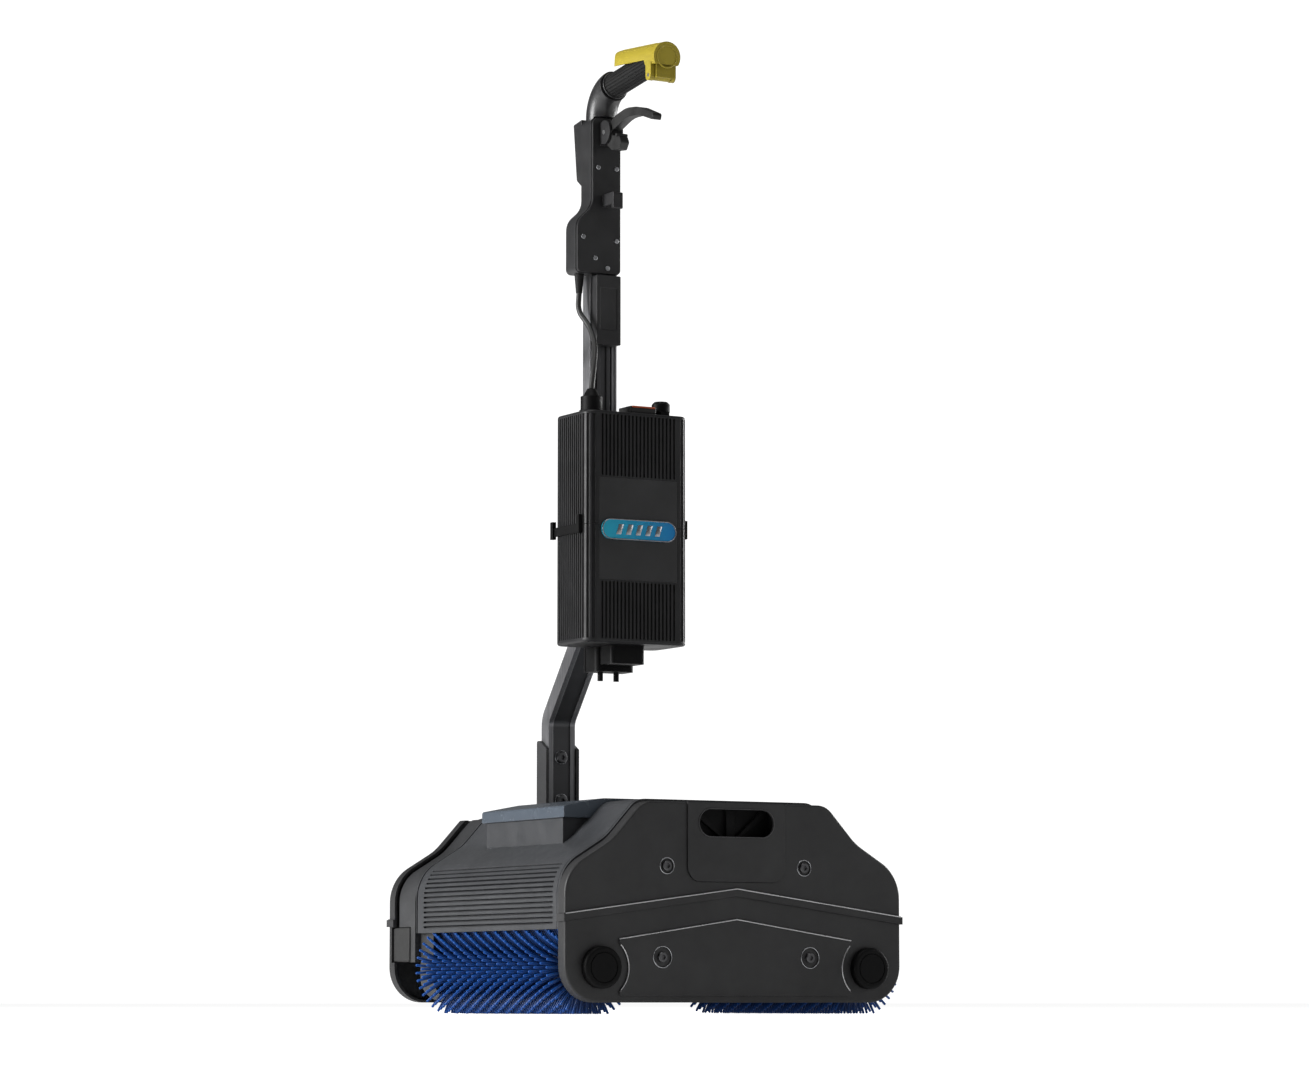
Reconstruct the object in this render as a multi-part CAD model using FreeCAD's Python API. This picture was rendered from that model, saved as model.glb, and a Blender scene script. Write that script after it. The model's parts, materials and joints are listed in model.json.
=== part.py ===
import FreeCAD, Part
import math
import os

from FreeCAD import Vector

os.makedirs("parts", exist_ok=True)

# Walk-behind wet and dry floor scrubber with two contra-rotating cylindrical brushes.
# Millimetres. X runs along the brush axes, Y is the direction of travel, Z is up.
# The origin is on the floor, under the middle of the body.

# ---- driving dimensions: body ----
body_length = 420.0
body_width = 424.0
cover_top = 227.0
cover_bottom = 12.3
bottom_corner_r = 40.0
shoulder_z = 151.7
shoulder_r = 46.0
knee_in = 56.7
knee_z = 185.8
knee_r = 60.0
crown_in = 94.6
crown_r = 24.0
cover_depth = 15.0
cover_skin = 3.0
cover_edge_r = 2.5

# ---- seam trim, raised panel and fasteners of the side covers ----
seam_end_z = 97.6
seam_apex_z = 126.4
seam_height = 8.0
trim_proud = 2.0
panel_bottom_z = 19.4
panel_half = 145.0
panel_side_z = 79.6
panel_apex_z = 101.4
panel_proud = 1.5
panel_bite_r = 34.0
cap_r = 22.6
cap_inner_r = 15.5
cap_proud = 9.0
low_bolt = (92.4, 60.6, 11.3)
high_bolt = (86.0, 158.0, 8.6)
bolt_head_r = 5.4
bolt_shank_r = 3.0
bolt_head_h = 3.0
hex_key = 5.0

# ---- carry handle plate on the near cover ----
plate_half = 61.0
plate_bottom_z = 141.8
plate_corner_r = 16.0
plate_t = 3.0
plate_proud = 1.5
slot_half = 46.7
slot_bottom_z = 190.3
slot_top_z = 219.9

# ---- brushes and drum ----
brush_r = 49.4
brush_in = 42.5
brush_end_gap = 1.5
core_r = 22.0
shaft_r = 8.0
drum_r = 48.0
drum_z = 66.0
running = 0.05
gap = 0.3

# ---- frames, hoods, tanks ----
frame_inset = 4.0
frame_wall = 3.0
near_frame_depth = 8.0
far_frame_depth = 44.5
far_gap = 4.0
channel_top_z = 221.0
boss_r = 7.0
hood_inset = 5.0
hood_rise = 3.4
hood_bottom_z = 90.0
hood_wall = 4.0
louvre_count = 13
louvre_pitch = 5.5
louvre_depth = 2.8
louvre_gap = 2.6
louvre_border = (19.5, 14.0)
border_lines = ((1.5, 2.8, 2.6), (336.5, 0.8, 1.0))
louvre_start_z = 95.0
dormer_half = 90.0
dormer_in = 53.0
dormer_drop = 15.0
dormer_foot_drop = 48.0
dormer_wall = 3.0
lid_overhang = 7.0
lid_lip = 2.5
lid_rim_h = 12.7
lid_crown_h = 21.8
lid_crown_in = 48.0
skin_gap = 1.0
tray_gap = 22.0
tray_lift = 4.0
tank_wall = 2.5
tank_bottom_z = 112.0
tank_top_z = 168.0
tank_depth = 110.0
filler_r = 14.0
bumper_in = 8.0
bumper_w = 40.0
bumper_z = (58.0, 97.0)
bumper_depth = 18.0

# ---- drive ----
motor_in = 62.0
motor_z = 146.0
motor_r = 31.0
motor_len = 210.0
motor_bell = 30.0
pinion_r = 13.0
gear_r = 39.0
gear_gap = 0.3
gear_angle = 205.0
brush_pulley_r = 24.0
rear_pulley_r = 20.0
belt_t = 2.5
belt_w = 6.5
gear_w = 5.5
rotor_r = 5.0
axle_r = 6.0
case_wall = 3.0
case_bottom = 14.0
case_depth = 32.5
belt_one_in = 12.5
gear_in = 19.5
belt_two_in = 28.5

# ---- handle ----
pivot_z = 130.0
pivot_r = 8.0
bush_r = 11.0
bracket_depth = 23.5
bracket_half = 21.8
bracket_wall = 3.6
bracket_top_z = 316.0
bracket_slope = 10.0
pole_half_y = 17.5
pole_half_x = 8.7
pole_wall = 3.0
channel_half = 11.0
channel_depth = 1.4
pole_high_x = -96.2
pole_foot_z = 153.0
crank_z = (340.0, 464.0)
crank_r = 22.0
pole_top_z = 960.0
pole_bolt_z = (246.0, 296.5)

# ---- battery ----
battery_x = (-84.0, -4.5)
battery_half = 66.5
battery_z = (416.0, 680.0)
battery_corner = 12.3
battery_wall = 3.5
battery_split_z = 550.0
rib_pitch = 4.9
rib_w = 2.3
rib_depth = 1.9
window_half = 51.0
window_z = (487.5, 604.0)
badge_half = 48.0
badge_h = 23.4
badge_z = 545.0
port_x = -41.0

# ---- handle head, grip and levers ----
head_x = (-107.0, -84.0)
head_front_t = 4.0
head_half = 19.0
head_wall = 1.3
head_z = (851.0, 1036.0)
head_top_r = 9.0
bulge_y = -39.0
bulge_z = (912.0, 930.0)
neck_r = 18.0
neck_run = 12.0
neck_bend_r = 34.0
grip_tilt = 6.5
grip_len = 108.0
grip_r = 14.5
spigot_r = 10.0
lever_gap = 1.3
lever_wall = 1.5
lever_tilt = 5.5
lever_len = 104.0
lever_pin = (47.0, 1060.0)
trigger_pin = (-71.0, 1016.0)
trigger_half = 5.6
cheek_r = 14.0
cable_r = 3.1
cable_route = [
    (-95.0, -28.0, 829.0),
    (-94.0, -30.0, 808.0),
    (-78.0, -23.5, 788.0),
    (-60.0, -25.5, 764.0),
    (-45.0, -35.5, 738.0),
    (-41.0, -41.0, 709.0),
]

# ---- places that follow from the sizes ----
side_x = body_width / 2
front_y = body_length / 2
cover_x = side_x - cover_depth
near_frame_x = cover_x - near_frame_depth
far_frame_x = -cover_x + far_frame_depth
case_inner_x = far_frame_x + case_depth
case_x = (far_frame_x, case_inner_x)
hood_x = (far_frame_x, near_frame_x)
hood_mid_x = (near_frame_x + far_frame_x) / 2
hood_front_y = front_y - hood_inset
brush_y = front_y - brush_in
brush_near_x = near_frame_x - brush_end_gap
brush_far_x = case_inner_x + brush_end_gap + 0.5
belt_one_x = case_inner_x - belt_one_in
gear_x = case_inner_x - gear_in
belt_two_x = case_inner_x - belt_two_in
motor_y = front_y - motor_in
motor_x = (case_inner_x + motor_bell, case_inner_x + motor_bell + motor_len)
gear_y = motor_y + (pinion_r + gear_r + gear_gap) * math.cos(math.radians(gear_angle))
gear_z = motor_z + (pinion_r + gear_r + gear_gap) * math.sin(math.radians(gear_angle))
# the reversing pulley's size makes both brushes turn at one speed
gear_pulley_r = gear_r * rear_pulley_r / brush_pulley_r
dormer_out = front_y - dormer_in
dormer_top_z = cover_top - dormer_drop
dormer_foot_z = cover_top - dormer_foot_drop
tray_half_y = motor_y - motor_r - tray_gap
tray_bottom_z = drum_z + drum_r + tray_lift
tank_back_y = front_y - tank_depth
bumper_x = (side_x - bumper_in - bumper_w, side_x - bumper_in)
bracket_x = (-side_x + cover_skin + skin_gap, -side_x + cover_skin + skin_gap + bracket_depth)
pole_low_x = bracket_x[0] + bracket_wall + pole_half_x + 0.1
pole_face = pole_high_x + pole_half_x
head_mid_x = pole_high_x + 2.9
lever_r = grip_r + lever_gap + lever_wall
cheek_y = (grip_r - 3.5, grip_r + 2)


# ---- helpers ----
def save(name, shape):
    shape.exportStep("parts/" + name + ".step")
    print(name, "solids", len(shape.Solids), "volume", round(shape.Volume))


def box(x, y, z):
    size = (x[1] - x[0], y[1] - y[0], z[1] - z[0])
    return Part.makeBox(*size, Vector(x[0], y[0], z[0]))


def cylinder(axis, ends, u, v, r):
    place = {"x": (ends[0], u, v), "y": (u, ends[0], v), "z": (u, v, ends[0])}[axis]
    way = {"x": (1, 0, 0), "y": (0, 1, 0), "z": (0, 0, 1)}[axis]
    return Part.makeCylinder(r, ends[1] - ends[0], Vector(*place), Vector(*way))


def ring(axis, ends, u, v, outer, inner):
    return cylinder(axis, ends, u, v, outer).cut(cylinder(axis, ends, u, v, inner))


def inset(points, d):
    """Moves a counter-clockwise outline of (u, v, radius) corners inwards by d."""
    moved = []
    count = len(points)
    for i in range(count):
        a, b, c = points[i - 1], points[i], points[(i + 1) % count]
        e = (b[0] - a[0], b[1] - a[1])
        f = (c[0] - b[0], c[1] - b[1])
        le, lf = math.hypot(*e), math.hypot(*f)
        n = (-e[1] / le, e[0] / le)
        m = (-f[1] / lf, f[0] / lf)
        cross = (e[0] * f[1] - e[1] * f[0]) / (le * lf)
        share = d / (1 + n[0] * m[0] + n[1] * m[1])
        radius = max(b[2] - d, 0.0) if cross > 0 else b[2] + d
        if b[2] == 0:
            radius = 0
        moved.append((b[0] + share * (n[0] + m[0]), b[1] + share * (n[1] + m[1]), radius))
    return moved


def outline(points, place):
    """Closed wire through (u, v, radius) corners, each rounded by a tangent arc."""
    count = len(points)
    spans = []
    for i in range(count):
        a, b, c = points[i - 1], points[i], points[(i + 1) % count]
        p = Vector(a[0] - b[0], a[1] - b[1], 0)
        q = Vector(c[0] - b[0], c[1] - b[1], 0)
        corner = Vector(b[0], b[1], 0)
        half = p.getAngle(q) / 2
        if b[2] <= 0 or half > math.pi / 2 - 0.001:
            spans.append((corner, None, corner))
            continue
        reach = min(b[2] / math.tan(half), 0.49 * p.Length, 0.49 * q.Length)
        radius = reach * math.tan(half)
        p.normalize()
        q.normalize()
        middle = (p + q).normalize() * (radius / math.sin(half) - radius)
        spans.append((corner + p * reach, corner + middle, corner + q * reach))
    edges = []
    for i in range(count):
        start, mid, end = spans[i]
        if mid is not None:
            edges.append(Part.Arc(place(start), place(mid), place(end)).toShape())
        nxt = spans[(i + 1) % count][0]
        if (nxt - end).Length > 1e-6:
            edges.append(Part.LineSegment(place(end), place(nxt)).toShape())
    return Part.Wire(edges)


def prism(points, axis, ends):
    """Extrudes an outline: (y, z) along x, (x, z) along y or (x, y) along z."""
    low = ends[0]
    length = ends[1] - ends[0]
    if axis == "x":
        wire = outline(points, lambda p: Vector(low, p.x, p.y))
        return Part.Face(wire).extrude(Vector(length, 0, 0))
    if axis == "y":
        wire = outline(points, lambda p: Vector(p.x, low, p.y))
        return Part.Face(wire).extrude(Vector(0, length, 0))
    wire = outline(points, lambda p: Vector(p.x, p.y, low))
    return Part.Face(wire).extrude(Vector(0, 0, length))


def rectangle(u, v, r):
    return [(u[0], v[0], r), (u[1], v[0], r), (u[1], v[1], r), (u[0], v[1], r)]


def profile(front, bottom, corner_r, rise):
    """The body's side outline: upright end, shoulder, hollow slope and crown."""
    half = [
        (front, bottom, corner_r),
        (front, shoulder_z + rise, shoulder_r),
        (front - knee_in, knee_z + rise, knee_r),
        (front - crown_in, cover_top + rise, crown_r),
    ]
    return half + [(-y, z, r) for y, z, r in reversed(half)]


def fuse(first, *others):
    return first.fuse(list(others)).removeSplitter()


def group(shapes):
    return Part.makeCompound(shapes)


def mirrored(shape):
    return shape.mirror(Vector(0, 0, 0), Vector(1, 0, 0))


def turned_y(shape):
    return shape.mirror(Vector(0, 0, 0), Vector(0, 1, 0))


def belt_loop(pulleys, thickness, ends):
    """A belt round pulleys (y, z, radius) given counter-clockwise, as a hollow loop."""
    def loop(extra):
        count = len(pulleys)
        angles = []
        for i in range(count):
            a, b = pulleys[i], pulleys[(i + 1) % count]
            way = math.atan2(b[1] - a[1], b[0] - a[0])
            length = math.hypot(b[0] - a[0], b[1] - a[1])
            angles.append(way - math.acos((a[2] - b[2]) / length))

        def at(i, angle):
            y, z, r = pulleys[i]
            reach = r + extra
            return Vector(ends[0], y + reach * math.cos(angle), z + reach * math.sin(angle))

        edges = []
        for i in range(count):
            nxt = (i + 1) % count
            edges.append(Part.LineSegment(at(i, angles[i]), at(nxt, angles[i])).toShape())
            sweep = (angles[nxt] - angles[i]) % (2 * math.pi)
            middle = at(nxt, angles[i] + sweep / 2)
            edges.append(Part.Arc(at(nxt, angles[i]), middle, at(nxt, angles[nxt])).toShape())
        face = Part.Face(Part.Wire(edges))
        return face.extrude(Vector(ends[1] - ends[0], 0, 0))

    return loop(gap + thickness).cut(loop(gap))


# ---- side covers, trims, panel, bolts and caps (made for +X, mirrored for -X) ----
cover_points = profile(front_y, cover_bottom, bottom_corner_r, 0)


def seam_band(x):
    reach = front_y + 2 * trim_proud
    low = [(-reach, seam_end_z), (0, seam_apex_z), (reach, seam_end_z)]
    high = [(y, z + seam_height) for y, z in reversed(low)]
    return prism([(y, z, 0) for y, z in low + high], "x", x)


def cover_shell():
    solid = prism(cover_points, "x", (cover_x, side_x))
    edges = [e for e in solid.Edges if e.BoundBox.XMin > side_x - 0.01]
    solid = solid.makeFillet(cover_edge_r, edges)
    hollow = prism(inset(cover_points, cover_skin), "x", (cover_x, side_x - cover_skin))
    return solid.cut(hollow)


def counterbore(place, depth, face_x):
    y, z, r = place
    return group([cylinder("x", (face_x - depth, face_x + 5), s * y, z, r) for s in (-1, 1)])


def bolt_holes(place):
    y, z, r = place
    clear = bolt_shank_r + gap
    return group([cylinder("x", (cover_x, side_x + 5), s * y, z, clear) for s in (-1, 1)])


def side_covers():
    halves = cover_shell().cut(seam_band((cover_x - 1, side_x + 5))).Solids
    halves.sort(key=lambda s: s.BoundBox.ZMax)
    lower, upper = halves[0], halves[-1]
    panel_points = [
        (-panel_half, panel_bottom_z, 3),
        (panel_half, panel_bottom_z, 3),
        (panel_half, panel_side_z, 3),
        (0, panel_apex_z, 0),
        (-panel_half, panel_side_z, 3),
    ]
    panel = prism(panel_points, "x", (side_x - 0.5, side_x + panel_proud))
    for side in (-1, 1):
        bite = cylinder("x", (side_x - 1, side_x + 5), side * brush_y, brush_r, panel_bite_r)
        panel = panel.cut(bite)
    lower = fuse(lower, panel)
    lower = lower.cut(counterbore(low_bolt, 1.2, side_x + panel_proud))
    lower = lower.cut(bolt_holes(low_bolt))
    upper = upper.cut(counterbore(high_bolt, 1.2, side_x))
    upper = upper.cut(bolt_holes(high_bolt))
    return lower, upper


def seam_trim():
    band = seam_band((cover_x, side_x + trim_proud))
    outer = prism(inset(cover_points, -trim_proud), "x", (cover_x, side_x + trim_proud))
    inner = prism(inset(cover_points, cover_skin), "x", (cover_x - 1, side_x - cover_skin))
    return band.common(outer).cut(inner)


def bolt(y, z, seat_x, inner_x):
    head = cylinder("x", (seat_x, seat_x + bolt_head_h), y, z, bolt_head_r)
    head = head.makeChamfer(0.6, [e for e in head.Edges if e.BoundBox.XMin > seat_x + 1])
    shank = cylinder("x", (inner_x, seat_x), y, z, bolt_shank_r)
    key = []
    for i in range(6):
        angle = math.radians(60 * i)
        r = hex_key / math.sqrt(3)
        key.append((y + r * math.cos(angle), z + r * math.sin(angle), 0))
    socket = prism(key, "x", (seat_x + 1, seat_x + bolt_head_h + 1))
    return fuse(head, shank).cut(socket)


def bolt_set(inner_x):
    bolts = []
    for place, face_x in ((low_bolt, side_x + panel_proud), (high_bolt, side_x)):
        for side in (-1, 1):
            bolts.append(bolt(side * place[0], place[1], face_x - 1.2, inner_x))
    return bolts


def bearing_cap(side):
    y = side * brush_y
    cap = cylinder("x", (side_x, side_x + cap_proud), y, brush_r, cap_r)
    cap = cap.makeFillet(3.5, [e for e in cap.Edges if e.BoundBox.XMin > side_x + 1])
    groove_x = side_x + cap_proud - 1.2
    return cap.cut(ring("x", (groove_x, side_x + 20), y, brush_r, cap_inner_r + 1, cap_inner_r))


def plate_outline(grow):
    side = plate_half + grow
    low = plate_bottom_z - grow
    high = cover_top + 5
    return [(-side, low, plate_corner_r), (side, low, plate_corner_r), (side, high, 0),
            (-side, high, 0)]


def finger_slot(grow, x):
    round_r = (slot_top_z - slot_bottom_z) / 2 + grow
    y = (-slot_half - grow, slot_half + grow)
    z = (slot_bottom_z - grow, slot_top_z + grow)
    return prism(rectangle(y, z, round_r - 0.01), "x", x)


lower_cover, upper_cover = side_covers()
near_upper = upper_cover.cut(prism(plate_outline(gap), "x", (side_x - 1.5, side_x + 5)))
near_upper = near_upper.cut(finger_slot(2, (cover_x - 1, side_x + 5)))
carry_plate = prism(plate_outline(0), "x", (side_x - 1.5, side_x + plate_proud))
carry_plate = carry_plate.common(prism(cover_points, "x", (cover_x, side_x + 5)))
carry_plate = carry_plate.cut(finger_slot(0, (cover_x, side_x + 5)))

# the handle swings in a slot along the top of the far cover
fan_half = (cover_top - pivot_z) * math.tan(math.radians(40)) + bracket_half / 0.766 + 3
fan_x = side_x - cover_skin
far_upper = upper_cover.cut(box((cover_x - 1, fan_x), (-fan_half, fan_half), (190, 300)))
far_upper = far_upper.cut(box((cover_x - 1, side_x + 1), (-front_y, front_y), (channel_top_z, 300)))

save("near_lower_cover", lower_cover)
save("near_upper_cover", near_upper)
save("far_upper_cover", mirrored(far_upper))
trim = seam_trim()
save("seam_trims", group([trim, mirrored(trim)]))
save("carry_plate", carry_plate)
caps = [bearing_cap(-1), bearing_cap(1)]
save("bearing_caps", group(caps + [mirrored(c) for c in caps]))
bolts = bolt_set(near_frame_x)
far_bolts = bolt_set(cover_x - 6)
save("cover_bolts", group(bolts + [mirrored(b) for b in far_bolts]))

# grip pocket behind the finger slot, with two diagonal ribs and an upright bar
pocket_x = (near_frame_x + frame_wall + 1.5, side_x - cover_skin)
pocket_y = slot_half + 3
pocket_z = (slot_bottom_z - 5, slot_top_z + 1)
pocket = box(pocket_x, (-pocket_y, pocket_y), pocket_z)
pocket_top = pocket_z[1] + 5
pocket = pocket.cut(box((pocket_x[0] + 2, 300), (2 - pocket_y, pocket_y - 2),
                        (pocket_z[0] + 2, pocket_top)))
rib_x = (pocket_x[0] + 2, pocket_x[0] + 6)
rib_low = pocket_z[0] + 2
ribs = [box(rib_x, (-5, 5), (rib_low, pocket_z[1] - 1))]
for side in (-1, 1):
    points = [(side * 8, rib_low, 0), (side * 44, slot_top_z - 6, 0), (side * 44, slot_top_z, 0),
              (side * 40, slot_top_z, 0), (side * 4, rib_low, 0)]
    if side < 0:
        points.reverse()
    ribs.append(prism(points, "x", rib_x))
save("grip_pocket", fuse(pocket, *ribs))

# ---- side frames ----
def bolt_bosses(x):
    bosses = []
    for place in (low_bolt, high_bolt):
        for side in (-1, 1):
            boss = ring("x", x, side * place[0], place[1], boss_r, bolt_shank_r + 0.02)
            bosses.append(boss)
    return bosses


def with_bosses(frame, x, drill):
    holes = []
    for place in (low_bolt, high_bolt):
        for side in (-1, 1):
            holes.append(cylinder("x", drill, side * place[0], place[1], bolt_shank_r + 0.02))
    return fuse(frame, *bolt_bosses(x)).cut(group(holes))


frame_points = inset(cover_points, frame_inset)
frame_inner = inset(cover_points, frame_inset + frame_wall)


def corner_openings(x, top, depth):
    low_y = front_y - depth
    cut = [box(x, (low_y, front_y + 5), (0, top)), box(x, (-front_y - 5, -low_y), (0, top))]
    return group(cut)


near_frame = prism(frame_points, "x", (near_frame_x, cover_x))
near_frame = near_frame.cut(prism(frame_inner, "x", (near_frame_x + frame_wall, cover_x + 1)))
near_frame = near_frame.cut(corner_openings((near_frame_x - 1, cover_x + 1), 88.0, 18.0))
bearing_r = shaft_r + 7
for y, z in ((-brush_y, brush_r), (brush_y, brush_r), (0, drum_z)):
    near_frame = near_frame.cut(cylinder("x", (near_frame_x - 1, cover_x), y, z, bearing_r))
pocket_room = box((pocket_x[0] - 1, cover_x + 1), (-pocket_y - 1, pocket_y + 1),
                  (pocket_z[0] - 1, 300))
near_frame = near_frame.cut(pocket_room)
near_frame = with_bosses(near_frame, (near_frame_x + frame_wall - 0.5, side_x - cover_skin),
                         (near_frame_x - 1, side_x))
save("near_side_frame", near_frame)

far_out_x = -cover_x + far_gap
fan_boss_x = -fan_x
far_frame = prism(frame_points, "x", (far_out_x, far_frame_x))
far_frame = far_frame.cut(prism(frame_inner, "x", (far_out_x - 1, far_frame_x - frame_wall)))
far_frame = far_frame.cut(corner_openings((far_out_x - 1, far_frame_x + 1), bumper_z[0] - 0.5, 45.0))
far_frame = far_frame.cut(box((far_out_x - 1, bracket_x[1] + 5), (-fan_half, fan_half), (190, 300)))
pin_boss = cylinder("x", (bracket_x[1] + 0.5, far_frame_x), 0, pivot_z, pivot_r + 6)
far_frame = fuse(far_frame, pin_boss)
far_frame = far_frame.cut(cylinder("x", (bracket_x[1], far_frame_x + 1), 0, pivot_z,
                                   pivot_r + 0.02))
far_frame = with_bosses(far_frame, (fan_boss_x, far_frame_x - frame_wall + 0.5),
                        (fan_boss_x, fan_boss_x + 22))
far_frame = fuse(far_frame, cylinder("x", (far_frame_x - 1, gear_x - 2.3), gear_y, gear_z, axle_r))
for side in (-1, 1):
    back_y = sorted((side * (front_y - bumper_depth - 3), side * (front_y - bumper_depth)))
    far_frame = fuse(far_frame, box((far_out_x, far_frame_x - 1), back_y, bumper_z))

# rubber bumper blocks in windows at the far corners, and their windows
bumpers = []
covers_cut = []
for side in (-1, 1):
    y = sorted((side * (front_y - bumper_depth), side * (front_y - 2)))
    points = rectangle((-bumper_x[1], -bumper_x[0]), bumper_z, 3)
    block = prism(points, "y", y)
    block = block.makeFillet(2.0, [e for e in block.Edges
                                   if abs(e.BoundBox.YMin - side * (front_y - 2)) < 0.01
                                   and abs(e.BoundBox.YMax - side * (front_y - 2)) < 0.01])
    bumpers.append(block)
    room = box((-bumper_x[1] - 0.5, -bumper_x[0] + 0.5),
               sorted((side * (front_y - bumper_depth), side * (front_y + 5))),
               (bumper_z[0] - 0.5, bumper_z[1] + 0.5))
    covers_cut.append(room)
save("corner_bumpers", group(bumpers))
windows = group(covers_cut)
save("far_side_frame", far_frame.cut(windows))
save("far_lower_cover", mirrored(lower_cover).cut(windows))

# ---- hoods with louvres and dormer, and the tank lid ----
hood_points = profile(hood_front_y, hood_bottom_z, 0, hood_rise)


def louvre_cuts():
    """Saw-tooth grooves that follow the front of the hood up to its shoulder."""
    low = louvre_start_z
    wire = outline(hood_points, lambda p: Vector(0, p.x, p.y))
    samples = [p for p in wire.discretize(Distance=0.5) if p.y > 0 and p.z > low]
    samples.sort(key=lambda p: (round(p.z, 3), -p.y))
    start = min(samples, key=lambda p: p.z)
    path = [start]
    for p in samples:
        if (p - path[-1]).Length >= 0.45:
            path.append(p)
    cuts = []
    step = int(louvre_pitch / 0.5)
    span = (hood_x[0] + louvre_border[0], hood_x[1] - louvre_border[1])
    for i in range(louvre_count):
        a = path[i * step]
        along = (path[i * step + 4] - a).normalize()
        normal = Vector(0, along.z, -along.y)
        inner = a - normal * louvre_depth
        outer = a + normal * 0.4
        corners = (outer, outer + along * louvre_gap, inner + along * 1.2, inner)
        points = [(v.y, v.z, 0) for v in corners]
        cuts.append(prism(points, "x", span))
    return cuts


def border_grooves():
    """Narrow grooves up the whole slope beside the hood's plain borders."""
    grooves = []
    for start, width, depth in border_lines:
        x = (hood_x[0] + start, hood_x[0] + start + width)
        skin = prism(inset(hood_points, -1), "x", x)
        grooves.append(skin.cut(prism(inset(hood_points, depth), "x", (x[0] - 1, x[1] + 1))))
    return grooves


def rear_hood():
    shell = prism(hood_points, "x", hood_x)
    inner_points = inset(profile(hood_front_y, hood_bottom_z - 20, 0, hood_rise), hood_wall)
    shell = shell.cut(prism(inner_points, "x", (hood_x[0] - 1, hood_x[1] + 1)))
    shell = shell.cut(box((-500, 500), (-500, gap), (0, 500)))
    mid, half = hood_mid_x, dormer_half
    lid_room = box((mid - half - lid_overhang - gap, mid + half + lid_overhang + gap),
                   (0, dormer_out + lid_lip + gap), (dormer_top_z, 300))
    shell = shell.cut(lid_room)
    room = box((mid - half + dormer_wall, mid + half - dormer_wall),
               (0, dormer_out - dormer_wall), (dormer_foot_z - 30, 300))
    outer = box((mid - half, mid + half), (60, dormer_out), (dormer_foot_z, dormer_top_z))
    shell = fuse(shell, outer).cut(room)
    return shell.cut(group(louvre_cuts())).cut(group(border_grooves()))


hood = rear_hood()
save("rear_hood", hood)
save("front_hood", turned_y(hood))

lid_half = dormer_half + lid_overhang
lid_y = dormer_out + lid_lip
lid_top = dormer_top_z + lid_rim_h
lid_crown = dormer_top_z + lid_crown_h
lid_points = [
    (-lid_y, dormer_top_z + 0.2, 0),
    (lid_y, dormer_top_z + 0.2, 0),
    (lid_y, lid_top, 3),
    (lid_y - lid_crown_in, lid_crown, 40),
    (lid_crown_in - lid_y, lid_crown, 40),
    (-lid_y, lid_top, 3),
]
lid_x = (hood_mid_x - lid_half, hood_mid_x + lid_half)
lid = prism(lid_points, "x", lid_x)
lid = lid.cut(prism(inset(lid_points, 3), "x", (lid_x[0] + 3, lid_x[1] - 3)).translated(Vector(0, 0, -3.2)))
save("tank_lid", lid)

# ---- tanks, blades, spray bars ----
tray_x = (hood_mid_x - dormer_half + dormer_wall + 1, hood_mid_x + dormer_half - dormer_wall - 1)
tray = box(tray_x, (-tray_half_y, tray_half_y), (tray_bottom_z, dormer_top_z - 1))
tray = tray.cut(box((tray_x[0] + tank_wall, tray_x[1] - tank_wall),
                    (tank_wall - tray_half_y, tray_half_y - tank_wall),
                    (tray_bottom_z + tank_wall, 300)))
save("recovery_tray", tray)

tank_x = (case_x[1], near_frame_x)
tank_box = box(tank_x, (-hood_front_y, -tank_back_y), (tank_bottom_z, tank_top_z))
tank = prism(inset(hood_points, hood_wall + 2), "x", tank_x).common(tank_box)
hollow_x = (tank_x[0] + tank_wall, tank_x[1] - tank_wall)
hollow = prism(inset(hood_points, hood_wall + 2 + tank_wall), "x", hollow_x)
hollow = hollow.common(box(hollow_x, (-hood_front_y, -tank_back_y - tank_wall),
                           (tank_bottom_z + tank_wall, tank_top_z - tank_wall)))
tank = tank.cut(hollow)
filler_y = -tank_back_y - filler_r - 6
tank = tank.cut(cylinder("z", (tank_top_z - 5, tank_top_z + 1), hood_mid_x, filler_y, filler_r))
save("solution_tank", tank)

blade_y = (36.5, 39.5)
blade_z = drum_z + math.sqrt(drum_r ** 2 - blade_y[0] ** 2) + 0.6
blade = box(tray_x, blade_y, (blade_z, tray_bottom_z))
save("scraper_blades", group([blade, turned_y(blade)]))
spray_y = brush_y - 39.5
spray_z = 105.0
bar = ring("x", (case_x[1], near_frame_x), spray_y, spray_z, 4.0, 2.5)
save("spray_bars", group([bar, turned_y(bar)]))

# ---- drive case, motor, gears, belts ----
case_points = inset(profile(hood_front_y, case_bottom - hood_wall - 2, 33, hood_rise), hood_wall + 2)
case = prism(case_points, "x", case_x)
case = case.cut(prism(inset(case_points, case_wall), "x", (case_x[0] - 1, case_x[1] - case_wall - 1)))
case = case.cut(box((-500, 500), (-98, 98), (dormer_top_z - 10, 500)))
for y, z in ((-brush_y, brush_r), (brush_y, brush_r), (0, drum_z)):
    case = case.cut(cylinder("x", (case_x[1] - 10, case_x[1] + 1), y, z, bearing_r))
case = case.cut(cylinder("x", (case_x[1] - 10, case_x[1] + 1), motor_y, motor_z, 7))
save("drive_case", case)
bearings = []
for y, z in ((-brush_y, brush_r), (brush_y, brush_r), (0, drum_z)):
    for ends in ((case_x[1] - case_wall - 1, case_x[1]), (near_frame_x, near_frame_x + 6)):
        bearings.append(ring("x", ends, y, z, bearing_r - 0.02, shaft_r + running))
save("shaft_bearings", group(bearings))

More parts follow.
